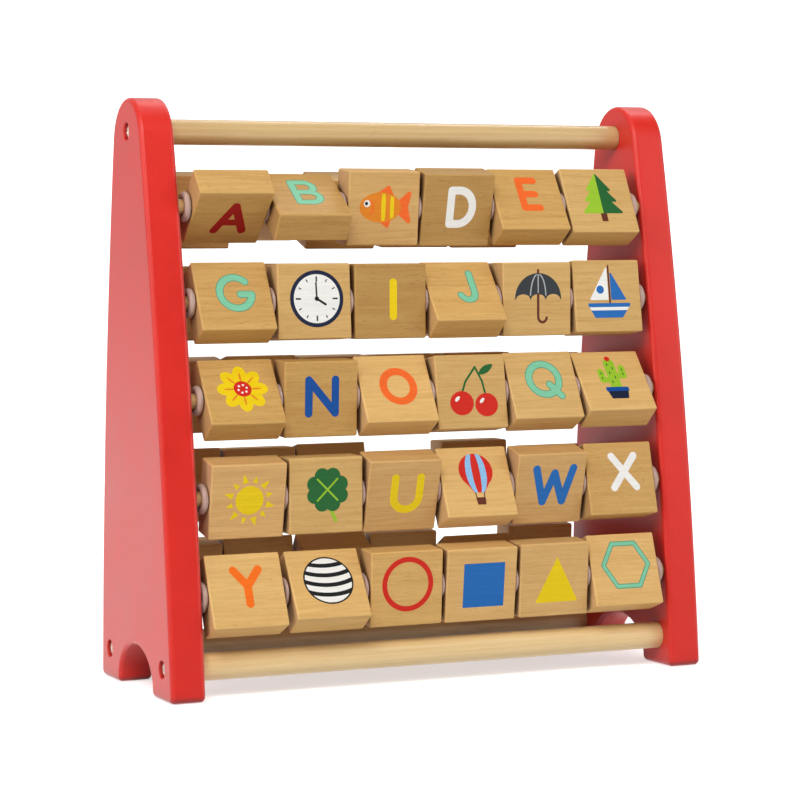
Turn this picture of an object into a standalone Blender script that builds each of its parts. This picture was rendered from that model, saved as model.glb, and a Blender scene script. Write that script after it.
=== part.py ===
"""Double-sided alphabet abacus of wood.

Two red side panels stand on four feet and are tied by three beech rails with
screws in their ends. Five rods on each side carry six square tiles a row, kept
apart by pale spacer rings. Every tile turns on its rod.

Metres, +Z up. +X runs along the rods and the front looks along -Y. The origin
is on the floor, midway between the panels.
"""

import math

import bmesh
import bpy
from mathutils import Matrix

# ---------------------------------------------------------------- dimensions
HEIGHT = 0.300  # floor to the top of a panel
WIDTH = 0.295  # over the outer faces of the panels
PANEL_T = 0.018  # thickness of a panel
BASE_HALF = 0.0597  # half depth of a panel at the floor
SIDE_LEAN = 0.062  # how fast a side draws in at the floor
SIDE_BOW = 0.24  # how much more it draws in per metre of height
FOOT_R = 0.0032  # outer corner of a foot, in the outline
ARCH_R = 0.0030  # inner corner of a foot, in the outline
ARCH_HALF = 0.0275  # half width of the arch between the feet
ARCH_H = 0.0225  # height of the arch
EDGE_R = 0.0024  # rounding of the panel's rim

TOP_RAIL_R = 0.0065
TOP_RAIL_Z = 0.2830
FOOT_RAIL_R = 0.0070
FOOT_RAIL_Y = 0.0443
FOOT_RAIL_Z = 0.0156
SOCKET_DEPTH = 0.0040  # how deep a rail end sits in a panel

ROD_R = 0.0039
ROD_HOLE_DEPTH = 0.0100
# Rod axis to the panel's front or rear edge, by row.
ROD_INSET = {1: 0.0056, 2: 0.0070, 3: 0.0061, 4: 0.0065, 5: 0.0071}
TOP_ROW_Z = 0.2443
ROW_PITCH = 0.0484
BORE_R = 0.0043  # through a tile, and of a rod's blind hole
RING_R = 0.0076
RING_T = 0.0018
END_RING_T = 0.0032

TILE_W = 0.0396  # along the rod
TILE_H = 0.0384
TILE_T = 0.0160
TILE_EDGE = 0.0007
TILE_PITCH = 0.0417
CORE_R = 0.0075  # sleeve that joins the tiles of a rear row

COUNTERBORE_R = 0.0046
COUNTERBORE_DEPTH = 0.0040
SCREW_HEAD_R = 0.0040
SCREW_HEAD_H = 0.0026
SCREW_SHANK_R = 0.0017
SCREW_HOLE_R = 0.0020
SCREW_IN_RAIL = 0.0180

GAP = 0.0003  # left between pieces that touch

ROWS = range(1, 6)
COLUMNS = range(1, 7)

# How far each tile's printed face looks up (+) or down (-), in degrees.
FRONT_TILT = {
    1: (-50.0, 54.5, -8.0, -15.5, 32.5, 27.0),
    2: (28.0, 2.5, -1.0, 38.0, -1.0, 8.0),
    3: (35.0, -4.0, 30.0, 8.0, 27.5, 38.5),
    4: (-12.5, -2.0, -17.5, 25.5, -15.0, 13.5),
    5: (23.5, 33.0, -5.0, -8.0, -5.0, 18.5),
}
REAR_TILT = {
    1: (10.0, 62.0, 20.0, 8.0, 13.0, 55.0),
    2: (3.0, 24.0, 0.0, -5.0, 6.0, 2.0),
    3: (8.0, -10.0, 4.0, 0.0, 0.0, 48.0),
    4: (-8.0, 0.0, -12.0, 70.0, 1.0, 62.0),
    5: (12.0, -6.0, 33.0, 5.0, 63.0, 4.0),
}
# How far each front tile has slid along its rod, out of an even row.
FRONT_SHIFT = {
    1: (0.00050, 0.00035, 0.00030, 0.00015, 0.0, -0.00010),
    2: (-0.00030, 0.00060, 0.00060, 0.00050, 0.00040, 0.00030),
    3: (0.00040, 0.00040, 0.00030, 0.00020, 0.00020, 0.00015),
    4: (0.00030, 0.00030, 0.00040, 0.00040, 0.00030, 0.00020),
    5: (-0.00230, -0.00070, 0.00015, 0.00015, 0.00015, 0.00015),
}
REAR_SHIFT = -0.0020  # the rear rows have theirs at the right end

INNER_X = WIDTH / 2 - PANEL_T
TURN_TO_X = Matrix.Rotation(math.pi / 2, 4, "Y")


# ---------------------------------------------------------------- placing
def half_depth(z):
    """Half depth of a panel at height z: the sides are bowed."""
    return BASE_HALF - SIDE_LEAN * z - SIDE_BOW * z * z


def slope(z):
    return -SIDE_LEAN - 2 * SIDE_BOW * z


def row_z(row):
    return TOP_ROW_Z - (row - 1) * ROW_PITCH


def rod_y(row):
    """Distance of a rod from the middle plane: it follows the panel's edge."""
    return half_depth(row_z(row)) - ROD_INSET[row]


def tile_x(row, column, front):
    shift = FRONT_SHIFT[row][column - 1] if front else REAR_SHIFT
    return (column - 3.5) * TILE_PITCH + shift


def rings(row):
    """Middle and thickness of the seven rings of a front rod, the two end rings thicker."""
    xs = [tile_x(row, c, True) for c in COLUMNS]
    play = (TILE_PITCH - TILE_W - RING_T) / 2
    found = [((a + b) / 2, RING_T) for a, b in zip(xs, xs[1:])]
    for x, sign in ((xs[0], -1), (xs[-1], 1)):
        edge = sign * x + TILE_W / 2 + play
        thick = min(END_RING_T, INNER_X - edge - 0.00045)
        found.append((sign * (edge + thick / 2), thick))
    return sorted(found)


# ---------------------------------------------------------------- scene
for old in list(bpy.data.objects):
    bpy.data.objects.remove(old, do_unlink=True)

parts = bpy.data.collections.new("alphabet_abacus")
cutters = bpy.data.collections.new("cutters")
bpy.context.scene.collection.children.link(parts)
bpy.context.scene.collection.children.link(cutters)


def make_material(name, colour, roughness, metallic=0.0):
    material = bpy.data.materials.new(name)
    material.use_nodes = True
    shader = material.node_tree.nodes["Principled BSDF"]
    shader.inputs["Base Color"].default_value = (*colour, 1.0)
    shader.inputs["Roughness"].default_value = roughness
    shader.inputs["Metallic"].default_value = metallic
    return material


RED = make_material("red_lacquer", (0.73, 0.045, 0.032), 0.35)
BEECH = make_material("beech", (0.66, 0.40, 0.18), 0.55)
RAIL_BEECH = make_material("rail_beech", (0.76, 0.52, 0.27), 0.5)
ROD_BEECH = make_material("rod_beech", (0.60, 0.38, 0.18), 0.6)
RING_WHITE = make_material("ring_white", (0.82, 0.79, 0.74), 0.4)
STEEL = make_material("screw_steel", (0.62, 0.60, 0.57), 0.35, 1.0)


def empty(name, location, parent=None):
    obj = bpy.data.objects.new(name, None)
    obj.empty_display_size = 0.02
    obj.location = location
    obj.parent = parent
    parts.objects.link(obj)
    return obj


def add_object(name, mesh, material, location=(0, 0, 0), rotation=(0, 0, 0), parent=None):
    obj = bpy.data.objects.new(name, mesh)
    if material and not mesh.materials:
        mesh.materials.append(material)
    obj.location = location
    obj.rotation_euler = rotation
    obj.parent = parent
    parts.objects.link(obj)
    return obj


def add_helper(name, mesh, location=(0, 0, 0), rotation=(0, 0, 0)):
    obj = bpy.data.objects.new(name, mesh)
    obj.location = location
    obj.rotation_euler = rotation
    obj.display_type = "WIRE"
    obj.hide_render = True
    cutters.objects.link(obj)
    return obj


def finish_mesh(name, bm, angle=35):
    bmesh.ops.recalc_face_normals(bm, faces=bm.faces)
    mesh = bpy.data.meshes.new(name)
    bm.to_mesh(mesh)
    bm.free()
    mesh.shade_smooth()
    mesh.set_sharp_from_angle(angle=math.radians(angle))
    return mesh


def rod_mesh(name, radius, length, segments):
    """A round bar along X, middle at the origin."""
    bm = bmesh.new()
    bmesh.ops.create_cone(
        bm, cap_ends=True, segments=segments, radius1=radius, radius2=radius,
        depth=length, matrix=TURN_TO_X,
    )
    return finish_mesh(name, bm)


def box_mesh(name, size):
    bm = bmesh.new()
    bmesh.ops.create_cube(bm, size=1.0)
    bmesh.ops.scale(bm, vec=size, verts=bm.verts)
    return finish_mesh(name, bm)


def turned_mesh(name, profile):
    """Profile of a turned piece, radius and height, from its top to its bottom."""
    mesh = bpy.data.meshes.new(name)
    points = [(radius, 0.0, height) for radius, height in profile]
    mesh.from_pydata(points, [(i, i + 1) for i in range(len(points) - 1)], [])
    return mesh


def turn(obj, steps):
    """Spins the profile round its own Z axis into a closed solid."""
    screw = obj.modifiers.new("turn", "SCREW")
    screw.axis = "Z"
    screw.angle = math.tau
    screw.steps = steps
    screw.render_steps = steps
    screw.use_merge_vertices = True
    screw.merge_threshold = 0.00001
    screw.use_smooth_shade = False


def bevel(obj, width, segments):
    modifier = obj.modifiers.new("rounded_edges", "BEVEL")
    modifier.width = width
    modifier.segments = segments
    modifier.limit_method = "ANGLE"
    modifier.angle_limit = math.radians(40)
    return modifier


def boolean(obj, other, operation="DIFFERENCE"):
    modifier = obj.modifiers.new(f"{operation.lower()}_{other.name}", "BOOLEAN")
    modifier.operation = operation
    modifier.solver = "EXACT"
    modifier.object = other
    return modifier


abacus = empty("abacus_origin", (0, 0, 0))

# ---------------------------------------------------------------- cutters
# One bar per rod bores its tiles and sinks a blind hole in both panels.
rod_cut_mesh = rod_mesh("rod_hole", BORE_R, 2 * (INNER_X + ROD_HOLE_DEPTH), 12)
bore = {}
for row in ROWS:
    for side, sign in (("front", -1), ("rear", 1)):
        bore[side, row] = add_helper(
            f"cut_{side}_rod_{row}", rod_cut_mesh, (0, sign * rod_y(row), row_z(row))
        )

RAILS = {
    "top": (TOP_RAIL_R, 0.0, TOP_RAIL_Z),
    "front": (FOOT_RAIL_R, -FOOT_RAIL_Y, FOOT_RAIL_Z),
    "rear": (FOOT_RAIL_R, FOOT_RAIL_Y, FOOT_RAIL_Z),
}
SOCKET_X = INNER_X + SOCKET_DEPTH
socket_cut = {}
screw_cut = {}
pilot_cut = {}
OUT = 0.002  # a cutter runs this far past the outer face
for rail, (radius, y, z) in RAILS.items():
    socket_cut[rail] = add_helper(
        f"cut_{rail}_socket", rod_mesh("socket", radius + GAP, 2 * SOCKET_X, 20), (0, y, z)
    )
    for side, sign in (("left", -1), ("right", 1)):
        # Stepped hole: a counterbore from outside, then clearance for the shank.
        hole = add_helper(
            f"cut_{side}_{rail}_screw",
            turned_mesh(
                "screw_hole",
                (
                    (0.0, WIDTH / 2 + OUT),
                    (COUNTERBORE_R, WIDTH / 2 + OUT),
                    (COUNTERBORE_R, WIDTH / 2 - COUNTERBORE_DEPTH),
                    (SCREW_HOLE_R, WIDTH / 2 - COUNTERBORE_DEPTH),
                    (SCREW_HOLE_R, INNER_X + SOCKET_DEPTH / 2),
                    (0.0, INNER_X + SOCKET_DEPTH / 2),
                ),
            ),
            (0, y, z),
            (0, sign * math.pi / 2, 0),
        )
        turn(hole, 12)
        screw_cut[side, rail] = hole
        depth = SCREW_IN_RAIL + GAP
        pilot_cut[side, rail] = add_helper(
            f"cut_{side}_{rail}_pilot",
            rod_mesh("pilot", SCREW_HOLE_R, depth + OUT, 12),
            (sign * (SOCKET_X - GAP - (depth - OUT) / 2), y, z),
        )


# ---------------------------------------------------------------- panels
def arc(cy, cz, radius, start, end, steps):
    """Points on an arc, angles in degrees from +Y towards +Z."""
    angles = [math.radians(start + (end - start) * i / steps) for i in range(steps + 1)]
    return [(cy + radius * math.cos(a), cz + radius * math.sin(a)) for a in angles]


def top_tangent():
    """Height where the bowed side runs into the round top."""
    low, high = 0.8 * HEIGHT, HEIGHT
    for _ in range(60):
        z = (low + high) / 2
        d, s = half_depth(z), slope(z)
        if z + d * s + d * math.hypot(1, s) < HEIGHT:
            low = z
        else:
            high = z
    return z


def panel_outline():
    """Outline of a panel in Y and Z, counter-clockwise from the arch."""
    z_top = top_tangent()
    centre_z = z_top + half_depth(z_top) * slope(z_top)
    top_r = HEIGHT - centre_z
    start = math.degrees(math.asin((z_top - centre_z) / top_r))
    foot_y = half_depth(FOOT_R) - FOOT_R
    half = arc(ARCH_HALF + ARCH_R, ARCH_R, ARCH_R, 180, 270, 4)
    half += arc(foot_y, FOOT_R, FOOT_R, 270, 360, 5)
    steps = 9
    for i in range(1, steps):
        z = FOOT_R + (z_top - FOOT_R) * i / steps
        half.append((half_depth(z), z))
    half += arc(0, centre_z, top_r, start, 90, 8)
    other = [(-y, z) for y, z in reversed(half[:-1])]
    arch = [
        (ARCH_HALF * math.cos(a), ARCH_R + (ARCH_H - ARCH_R) * math.sin(a))
        for a in (math.pi * (1 - i / 16) for i in range(1, 16))
    ]
    return half + other + arch


def panel_mesh():
    curve = bpy.data.curves.new("panel_outline", "CURVE")
    curve.dimensions = "2D"
    curve.fill_mode = "BOTH"
    curve.extrude = PANEL_T / 2
    outline = panel_outline()
    spline = curve.splines.new("POLY")
    spline.points.add(len(outline) - 1)
    for point, (y, z) in zip(spline.points, outline):
        point.co = (y, z, 0.0, 1.0)
    spline.use_cyclic_u = True
    guide = bpy.data.objects.new("panel_outline", curve)
    cutters.objects.link(guide)
    graph = bpy.context.evaluated_depsgraph_get()
    mesh = bpy.data.meshes.new_from_object(guide.evaluated_get(graph))
    bpy.data.objects.remove(guide, do_unlink=True)
    bm = bmesh.new()
    bm.from_mesh(mesh)
    bpy.data.meshes.remove(mesh)
    bmesh.ops.remove_doubles(bm, verts=bm.verts, dist=0.00001)
    bmesh.ops.dissolve_limit(
        bm, angle_limit=math.radians(0.2), verts=bm.verts, edges=bm.edges
    )
    return finish_mesh("side_panel", bm)


side_panel = panel_mesh()
for side, sign in (("left", -1), ("right", 1)):
    panel = add_object(
        f"{side}_panel",
        side_panel,
        RED,
        (sign * (WIDTH - PANEL_T) / 2, 0, 0),
        (math.pi / 2, 0, math.pi / 2),
        abacus,
    )
    bevel(panel, EDGE_R, 2)
    for cutter in bore.values():
        boolean(panel, cutter)
    for rail in RAILS:
        boolean(panel, socket_cut[rail])
        boolean(panel, screw_cut[side, rail])

# ---------------------------------------------------------------- rails, screws
RAIL_NAMES = {"top": "top_rail", "front": "front_foot_rail", "rear": "rear_foot_rail"}
screw_profile = turned_mesh(
    "screw",
    (
        (0.0, SCREW_HEAD_H),
        (SCREW_HEAD_R * 0.75, SCREW_HEAD_H),
        (SCREW_HEAD_R, SCREW_HEAD_H * 0.6),
        (SCREW_HEAD_R, 0.0),
        (SCREW_SHANK_R, 0.0),
        (SCREW_SHANK_R, SOCKET_X - GAP - SCREW_IN_RAIL - (WIDTH / 2 - COUNTERBORE_DEPTH + GAP)),
        (0.0, SOCKET_X - GAP - SCREW_IN_RAIL - (WIDTH / 2 - COUNTERBORE_DEPTH + GAP)),
    ),
)
for rail, (radius, y, z) in RAILS.items():
    bar = add_object(
        RAIL_NAMES[rail],
        rod_mesh(RAIL_NAMES[rail], radius, 2 * (SOCKET_X - GAP), 20),
        RAIL_BEECH,
        (0, y, z),
        parent=abacus,
    )
    for side, sign in (("left", -1), ("right", 1)):
        boolean(bar, pilot_cut[side, rail])
        screw = add_object(
            f"screw_{side}_{rail}",
            screw_profile,
            STEEL,
            (sign * (WIDTH / 2 - COUNTERBORE_DEPTH + GAP), y, z),
            (0, sign * math.pi / 2, 0),
            abacus,
        )
        turn(screw, 12)

# ---------------------------------------------------------------- rods
ROD_HALF = INNER_X + ROD_HOLE_DEPTH - 0.0005


def ringed_profile(row):
    """Rod with its seven spacer rings, from the right end to the left."""
    profile = [(0.0, ROD_HALF), (ROD_R, ROD_HALF)]
    for x, thick in reversed(rings(row)):
        high, low = x + thick / 2, x - thick / 2
        profile += [(ROD_R, high), (RING_R, high), (RING_R, low), (ROD_R, low)]
    return profile + [(ROD_R, -ROD_HALF), (0.0, -ROD_HALF)]


rear_rod = rod_mesh("rear_rod", ROD_R, 2 * ROD_HALF, 12)
tile = box_mesh("tile", (TILE_W, TILE_T, TILE_H))
axis_of = {}
for row in ROWS:
    for side, sign in (("front", -1), ("rear", 1)):
        axis_of[side, row] = empty(
            f"{side}_axis_{row}", (0, sign * rod_y(row), row_z(row)), abacus
        )
    rod = add_object(
        f"front_rod_{row}",
        turned_mesh(f"front_rod_{row}", ringed_profile(row)),
        RING_WHITE,
        rotation=(0, math.pi / 2, 0),
        parent=axis_of["front", row],
    )
    turn(rod, 12)
    add_object(f"rear_rod_{row}", rear_rod, ROD_BEECH, parent=axis_of["rear", row])

# ---------------------------------------------------------------- front tiles
for row in ROWS:
    for column in COLUMNS:
        block = add_object(
            f"tile_r{row}_c{column}",
            tile,
            BEECH,
            (tile_x(row, column, True), 0, 0),
            (-math.radians(FRONT_TILT[row][column - 1]), 0, 0),
            axis_of["front", row],
        )
        bevel(block, TILE_EDGE, 1)
        boolean(block, bore["front", row])

# ---------------------------------------------------------------- rear tiles
# The six blocks of a rear row sit on one sleeve and turn together.
core_half = 3 * TILE_PITCH + RING_T / 2
core = rod_mesh("rear_core", CORE_R, 2 * core_half, 12)
for row in ROWS:
    y, z = rod_y(row), row_z(row)
    sleeve = add_object(
        f"rear_tiles_row_{row}", core, BEECH, (REAR_SHIFT, 0, 0), parent=axis_of["rear", row]
    )
    for column in COLUMNS:
        block = add_helper(
            f"rear_block_{row}_{column}",
            tile,
            (tile_x(row, column, False), y, z),
            (math.radians(REAR_TILT[row][column - 1]), 0, 0),
        )
        bevel(block, TILE_EDGE, 1)
        boolean(sleeve, block, "UNION")
    boolean(sleeve, bore["rear", row])
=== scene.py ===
"""Looks of the alphabet abacus: lacquered panels, beech blocks with printed faces,
beech rails and rods, pale spacer rings and cross-head screws, on a pale floor.

Metres, +Z up, front along -Y. Drawings for the printed faces are in millimetres,
seen face on: u to the right, v up.
"""

import math
import random

import bmesh
import bpy
import numpy as np
from mathutils import Matrix, Vector
from mathutils.geometry import tessellate_polygon


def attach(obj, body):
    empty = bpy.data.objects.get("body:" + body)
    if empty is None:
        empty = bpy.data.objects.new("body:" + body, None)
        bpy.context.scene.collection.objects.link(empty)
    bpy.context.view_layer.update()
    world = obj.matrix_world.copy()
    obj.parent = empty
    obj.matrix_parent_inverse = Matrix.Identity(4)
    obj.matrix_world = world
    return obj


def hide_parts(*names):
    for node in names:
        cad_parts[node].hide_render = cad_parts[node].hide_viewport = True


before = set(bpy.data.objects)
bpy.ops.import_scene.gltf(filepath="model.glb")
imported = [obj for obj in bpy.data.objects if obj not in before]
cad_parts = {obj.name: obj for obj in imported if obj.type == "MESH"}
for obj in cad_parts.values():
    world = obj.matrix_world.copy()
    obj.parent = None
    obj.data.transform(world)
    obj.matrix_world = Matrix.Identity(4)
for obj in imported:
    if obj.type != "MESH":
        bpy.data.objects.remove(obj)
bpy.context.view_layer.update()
scene = bpy.context.scene

# ------------------------------------------------------------------ dimensions
MM = 0.001
HEIGHT = 0.300
WIDTH = 0.295
PANEL_T = 0.018
BASE_HALF, SIDE_LEAN, SIDE_BOW = 0.0597, 0.062, 0.24
FOOT_R, ARCH_R, ARCH_HALF, ARCH_H = 0.0032, 0.0030, 0.0275, 0.0225
EDGE_R = 0.0024
INNER_X = WIDTH / 2 - PANEL_T
RAILS = {
    "top": (0.0065, 0.0, 0.2830),
    "front": (0.0070, -0.0443, 0.0156),
    "rear": (0.0070, 0.0443, 0.0156),
}
RAIL_NODE = {"top": "top_rail", "front": "front_foot_rail", "rear": "rear_foot_rail"}
GAP = 0.0003
SOCKET_X = INNER_X + 0.004
ROD_R, ROD_HALF = 0.0039, INNER_X + 0.0095
ROD_INSET = {1: 0.0056, 2: 0.0070, 3: 0.0061, 4: 0.0065, 5: 0.0071}
TOP_ROW_Z, ROW_PITCH = 0.2443, 0.0484
BORE_R = 0.0043
RING_R, RING_T, END_RING_T, REAR_RING_R = 0.0076, 0.0018, 0.0032, 0.0075
TILE_W, TILE_H, TILE_T, TILE_PITCH = 0.0396, 0.0384, 0.0160, 0.0417
TILE_EDGE = 0.0010
COUNTERBORE_R, COUNTERBORE_DEPTH = 0.0046, 0.0040
SCREW_HEAD_R, SCREW_HEAD_H, SCREW_SHANK_R, SCREW_IN_RAIL = 0.0040, 0.0026, 0.0017, 0.018
ROWS, COLUMNS = range(1, 6), range(1, 7)
FRONT_TILT = {
    1: (-50.0, 54.5, -8.0, -15.5, 32.5, 27.0),
    2: (28.0, 2.5, -1.0, 38.0, -1.0, 8.0),
    3: (35.0, -4.0, 30.0, 8.0, 27.5, 38.5),
    4: (-12.5, -2.0, -17.5, 25.5, -15.0, 13.5),
    5: (23.5, 33.0, -5.0, -8.0, -5.0, 18.5),
}
REAR_TILT = {
    1: (10.0, 62.0, 20.0, 8.0, 13.0, 55.0),
    2: (3.0, 24.0, 0.0, -5.0, 6.0, 2.0),
    3: (8.0, -10.0, 4.0, 0.0, 0.0, 48.0),
    4: (-8.0, 0.0, -12.0, 70.0, 1.0, 62.0),
    5: (12.0, -6.0, 33.0, 5.0, 63.0, 4.0),
}
FRONT_SHIFT = {
    1: (0.00050, 0.00035, 0.00030, 0.00015, 0.0, -0.00010),
    2: (-0.00030, 0.00060, 0.00060, 0.00050, 0.00040, 0.00030),
    3: (0.00040, 0.00040, 0.00030, 0.00020, 0.00020, 0.00015),
    4: (0.00030, 0.00030, 0.00040, 0.00040, 0.00030, 0.00020),
    5: (-0.00230, -0.00070, 0.00015, 0.00015, 0.00015, 0.00015),
}
REAR_SHIFT = -0.0020


def half_depth(z):
    return BASE_HALF - SIDE_LEAN * z - SIDE_BOW * z * z


def slope(z):
    return -SIDE_LEAN - 2 * SIDE_BOW * z


def row_z(row):
    return TOP_ROW_Z - (row - 1) * ROW_PITCH


def rod_y(row):
    return half_depth(row_z(row)) - ROD_INSET[row]


def tile_x(row, column, front):
    shift = FRONT_SHIFT[row][column - 1] if front else REAR_SHIFT
    return (column - 3.5) * TILE_PITCH + shift


def rings(row):
    """Middle and thickness of the rings of a front rod, the two end rings thicker."""
    xs = [tile_x(row, c, True) for c in COLUMNS]
    play = (TILE_PITCH - TILE_W - RING_T) / 2
    found = [((a + b) / 2, RING_T) for a, b in zip(xs, xs[1:])]
    for x, sign in ((xs[0], -1), (xs[-1], 1)):
        edge = sign * x + TILE_W / 2 + play
        thick = min(END_RING_T, WIDTH / 2 - PANEL_T - edge - 0.00045)
        found.append((sign * (edge + thick / 2), thick))
    return sorted(found)


# ------------------------------------------------------------------ materials
def linear(r, g, b):
    """A colour given as display values 0-255, in linear light."""
    return tuple(
        v / 255 / 12.92 if v <= 10 else ((v / 255 + 0.055) / 1.055) ** 2.4 for v in (r, g, b)
    )


class Paint:
    """A material built node by node on a Principled shader."""

    def __init__(self, name):
        self.material = bpy.data.materials.new(name)
        self.material.use_nodes = True
        self.tree = self.material.node_tree
        self.shader = self.tree.nodes["Principled BSDF"]

    def put(self, socket, value):
        if isinstance(value, bpy.types.NodeSocket):
            self.tree.links.new(value, socket)
        elif isinstance(value, (tuple, list)) and len(value) == 3 and socket.type == "RGBA":
            socket.default_value = (*value, 1.0)
        else:
            socket.default_value = value

    def set(self, **values):
        for name, value in values.items():
            self.put(self.shader.inputs[name.replace("_", " ")], value)

    def node(self, kind, inputs=(), **settings):
        made = self.tree.nodes.new(kind)
        for name, value in settings.items():
            setattr(made, name, value)
        for key, value in dict(inputs).items():
            self.put(made.inputs[key], value)
        return made

    def attribute(self, name):
        return self.node("ShaderNodeAttribute", attribute_name=name).outputs["Vector"]

    def times(self, vector, scale):
        return self.node(
            "ShaderNodeVectorMath", {0: vector, 1: scale}, operation="MULTIPLY"
        ).outputs[0]

    def shifted(self, vector, offset):
        return self.node("ShaderNodeVectorMath", {0: vector, 1: offset}, operation="ADD").outputs[0]

    def noise(self, vector, detail=2.0, roughness=0.5, distortion=0.0):
        return self.node(
            "ShaderNodeTexNoise",
            {"Vector": vector, "Scale": 1.0, "Detail": detail, "Roughness": roughness, "Distortion": distortion},
        ).outputs["Fac"]

    def math(self, operation, a, b=0.0):
        return self.node("ShaderNodeMath", {0: a, 1: b}, operation=operation).outputs[0]

    def remap(self, value, low, high, to_low=0.0, to_high=1.0, smooth=False):
        return self.node(
            "ShaderNodeMapRange",
            {"Value": value, "From Min": low, "From Max": high, "To Min": to_low, "To Max": to_high},
            interpolation_type="SMOOTHSTEP" if smooth else "LINEAR",
        ).outputs[0]

    def mix(self, factor, a, b, blend="MIX"):
        return self.node(
            "ShaderNodeMix", {0: factor, 6: a, 7: b}, data_type="RGBA", blend_type=blend
        ).outputs[2]

    def split(self, vector):
        return self.node("ShaderNodeSeparateXYZ", {0: vector}).outputs

    def bump(self, height, strength, distance):
        return self.node(
            "ShaderNodeBump", {"Height": height, "Strength": strength, "Distance": distance}
        ).outputs["Normal"]


def wood(name, pale, deep, fleck, end_grain, long=1.0, roughness=0.5, flecks=1.0, shine=0.35):
    """Beech: fine fibres along X, faint growth bands, short ray flecks, darker end grain,
    and painted shade, a dark brown, where a face stands close to its neighbour.
    It reads the block's own coordinates in millimetres and the tone of its board."""
    p = Paint(name)
    co = p.attribute("grain_co")
    tone, warm, gold = p.split(p.attribute("board"))
    edge = p.split(p.attribute("edge"))[0]
    wander = p.noise(p.times(co, (0.02 / long, 0.05, 0.05)), 1.0)
    bent = p.node(
        "ShaderNodeVectorMath",
        {0: p.node("ShaderNodeCombineXYZ", {1: wander, 2: wander}).outputs[0], 1: (0.0, 2.5, 2.5), 2: co},
        operation="MULTIPLY_ADD",
    ).outputs[0]
    fibre = p.noise(p.times(bent, (0.035 / long, 0.75, 0.75)), 5.0, 0.62)
    fine = p.noise(p.times(bent, (0.045 / long, 2.8, 2.8)), 3.0, 0.6)
    band = p.noise(p.times(bent, (0.008 / long, 0.13, 0.13)), 2.0, 0.5)
    ring = p.node(
        "ShaderNodeTexWave",
        {"Vector": p.shifted(bent, (0.0, 71.0, -48.0)), "Scale": 0.085, "Distortion": 3.0, "Detail": 2.0,
         "Detail Scale": 0.4, "Detail Roughness": 0.6},
        wave_type="RINGS", rings_direction="X", wave_profile="SAW",
    ).outputs["Fac"]
    ray = p.noise(p.shifted(p.times(bent, (0.26 / long, 2.3, 2.3)), (7.0, 3.0, 11.0)), 1.0, 0.5)
    ray = p.remap(ray, 0.645, 0.72, 0.0, 1.0, True)
    streak = p.math("ADD", p.math("MULTIPLY", p.remap(fibre, 0.30, 0.70), 0.46), p.math("MULTIPLY", p.remap(fine, 0.3, 0.7), 0.26))
    streak = p.math("ADD", streak, p.math("MULTIPLY", p.remap(band, 0.3, 0.7), 0.22))
    streak = p.math("ADD", streak, p.math("MULTIPLY", ring, 0.12))
    colour = p.mix(streak, pale, deep)
    mottle = p.math("MULTIPLY", p.math("ADD", p.math("MULTIPLY", gold, 0.30), 0.20), flecks)
    colour = p.mix(p.math("MULTIPLY", ray, mottle), colour, fleck)
    # Paler edges: partly sanding wear, partly a painted highlight along the bevels.
    colour = p.mix(p.math("MULTIPLY", edge, 0.28), colour, tuple(min(1.0, 1.12 * v) for v in pale))
    normal = p.split(p.node("ShaderNodeNewGeometry").outputs["Normal"])[0]
    end = p.remap(p.math("ABSOLUTE", normal), 0.75, 0.95, 0.0, 1.0, True)
    colour = p.mix(p.math("MULTIPLY", end, 0.75), colour, p.mix(streak, end_grain, tuple(0.80 * v for v in end_grain)))
    colour = p.mix(gold, colour, p.mix(1.0, colour, (0.90, 0.80, 0.58), "MULTIPLY"))
    pink = p.mix(warm, colour, p.mix(1.0, colour, (1.0, 0.95, 1.02), "MULTIPLY"))
    # Painted shade: the colour turns dark brown where other surfaces lie within 6 mm, as in the crevices between
    # blocks.
    air = p.node("ShaderNodeAmbientOcclusion", {"Distance": 0.006}, samples=6).outputs["AO"]
    pink = p.mix(p.remap(air, 0.10, 0.60, 0.0, 1.0, True), p.mix(1.0, pink, (0.20, 0.11, 0.045), "MULTIPLY"), pink)
    dim = p.node("ShaderNodeCombineXYZ", {0: tone, 1: tone, 2: tone}).outputs[0]
    p.set(
        Base_Color=p.mix(1.0, pink, dim, "MULTIPLY"),
        Roughness=p.remap(fibre, 0.3, 0.7, roughness - 0.05, roughness + 0.08),
        Normal=p.bump(p.math("SUBTRACT", p.math("ADD", fibre, p.math("MULTIPLY", fine, 0.6)), p.math("MULTIPLY", ray, 0.5)), 0.30, 0.00012),
    )
    p.shader.inputs["Specular IOR Level"].default_value = shine
    return p.material


def ink(name, colour, roughness=0.45):
    """A thin film of print on wood: the fibres show through a little."""
    p = Paint(name)
    co = p.attribute("grain_co")
    fibre = p.noise(p.times(co, (0.035, 0.75, 0.75)), 5.0, 0.62)
    fine = p.noise(p.times(co, (0.3, 2.4, 2.4)), 2.0, 0.6)
    shade = p.math("ADD", p.math("MULTIPLY", fibre, 0.6), p.math("MULTIPLY", fine, 0.4))
    p.set(
        Base_Color=p.mix(p.remap(shade, 0.3, 0.7), tuple(0.90 * v for v in colour), tuple(min(1.0, 1.06 * v + 0.006) for v in colour)),
        Roughness=p.remap(fine, 0.3, 0.7, roughness - 0.05, roughness + 0.07),
        Normal=p.bump(shade, 0.18, 0.0001),
    )
    p.shader.inputs["Specular IOR Level"].default_value = 0.22
    return p.material


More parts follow.
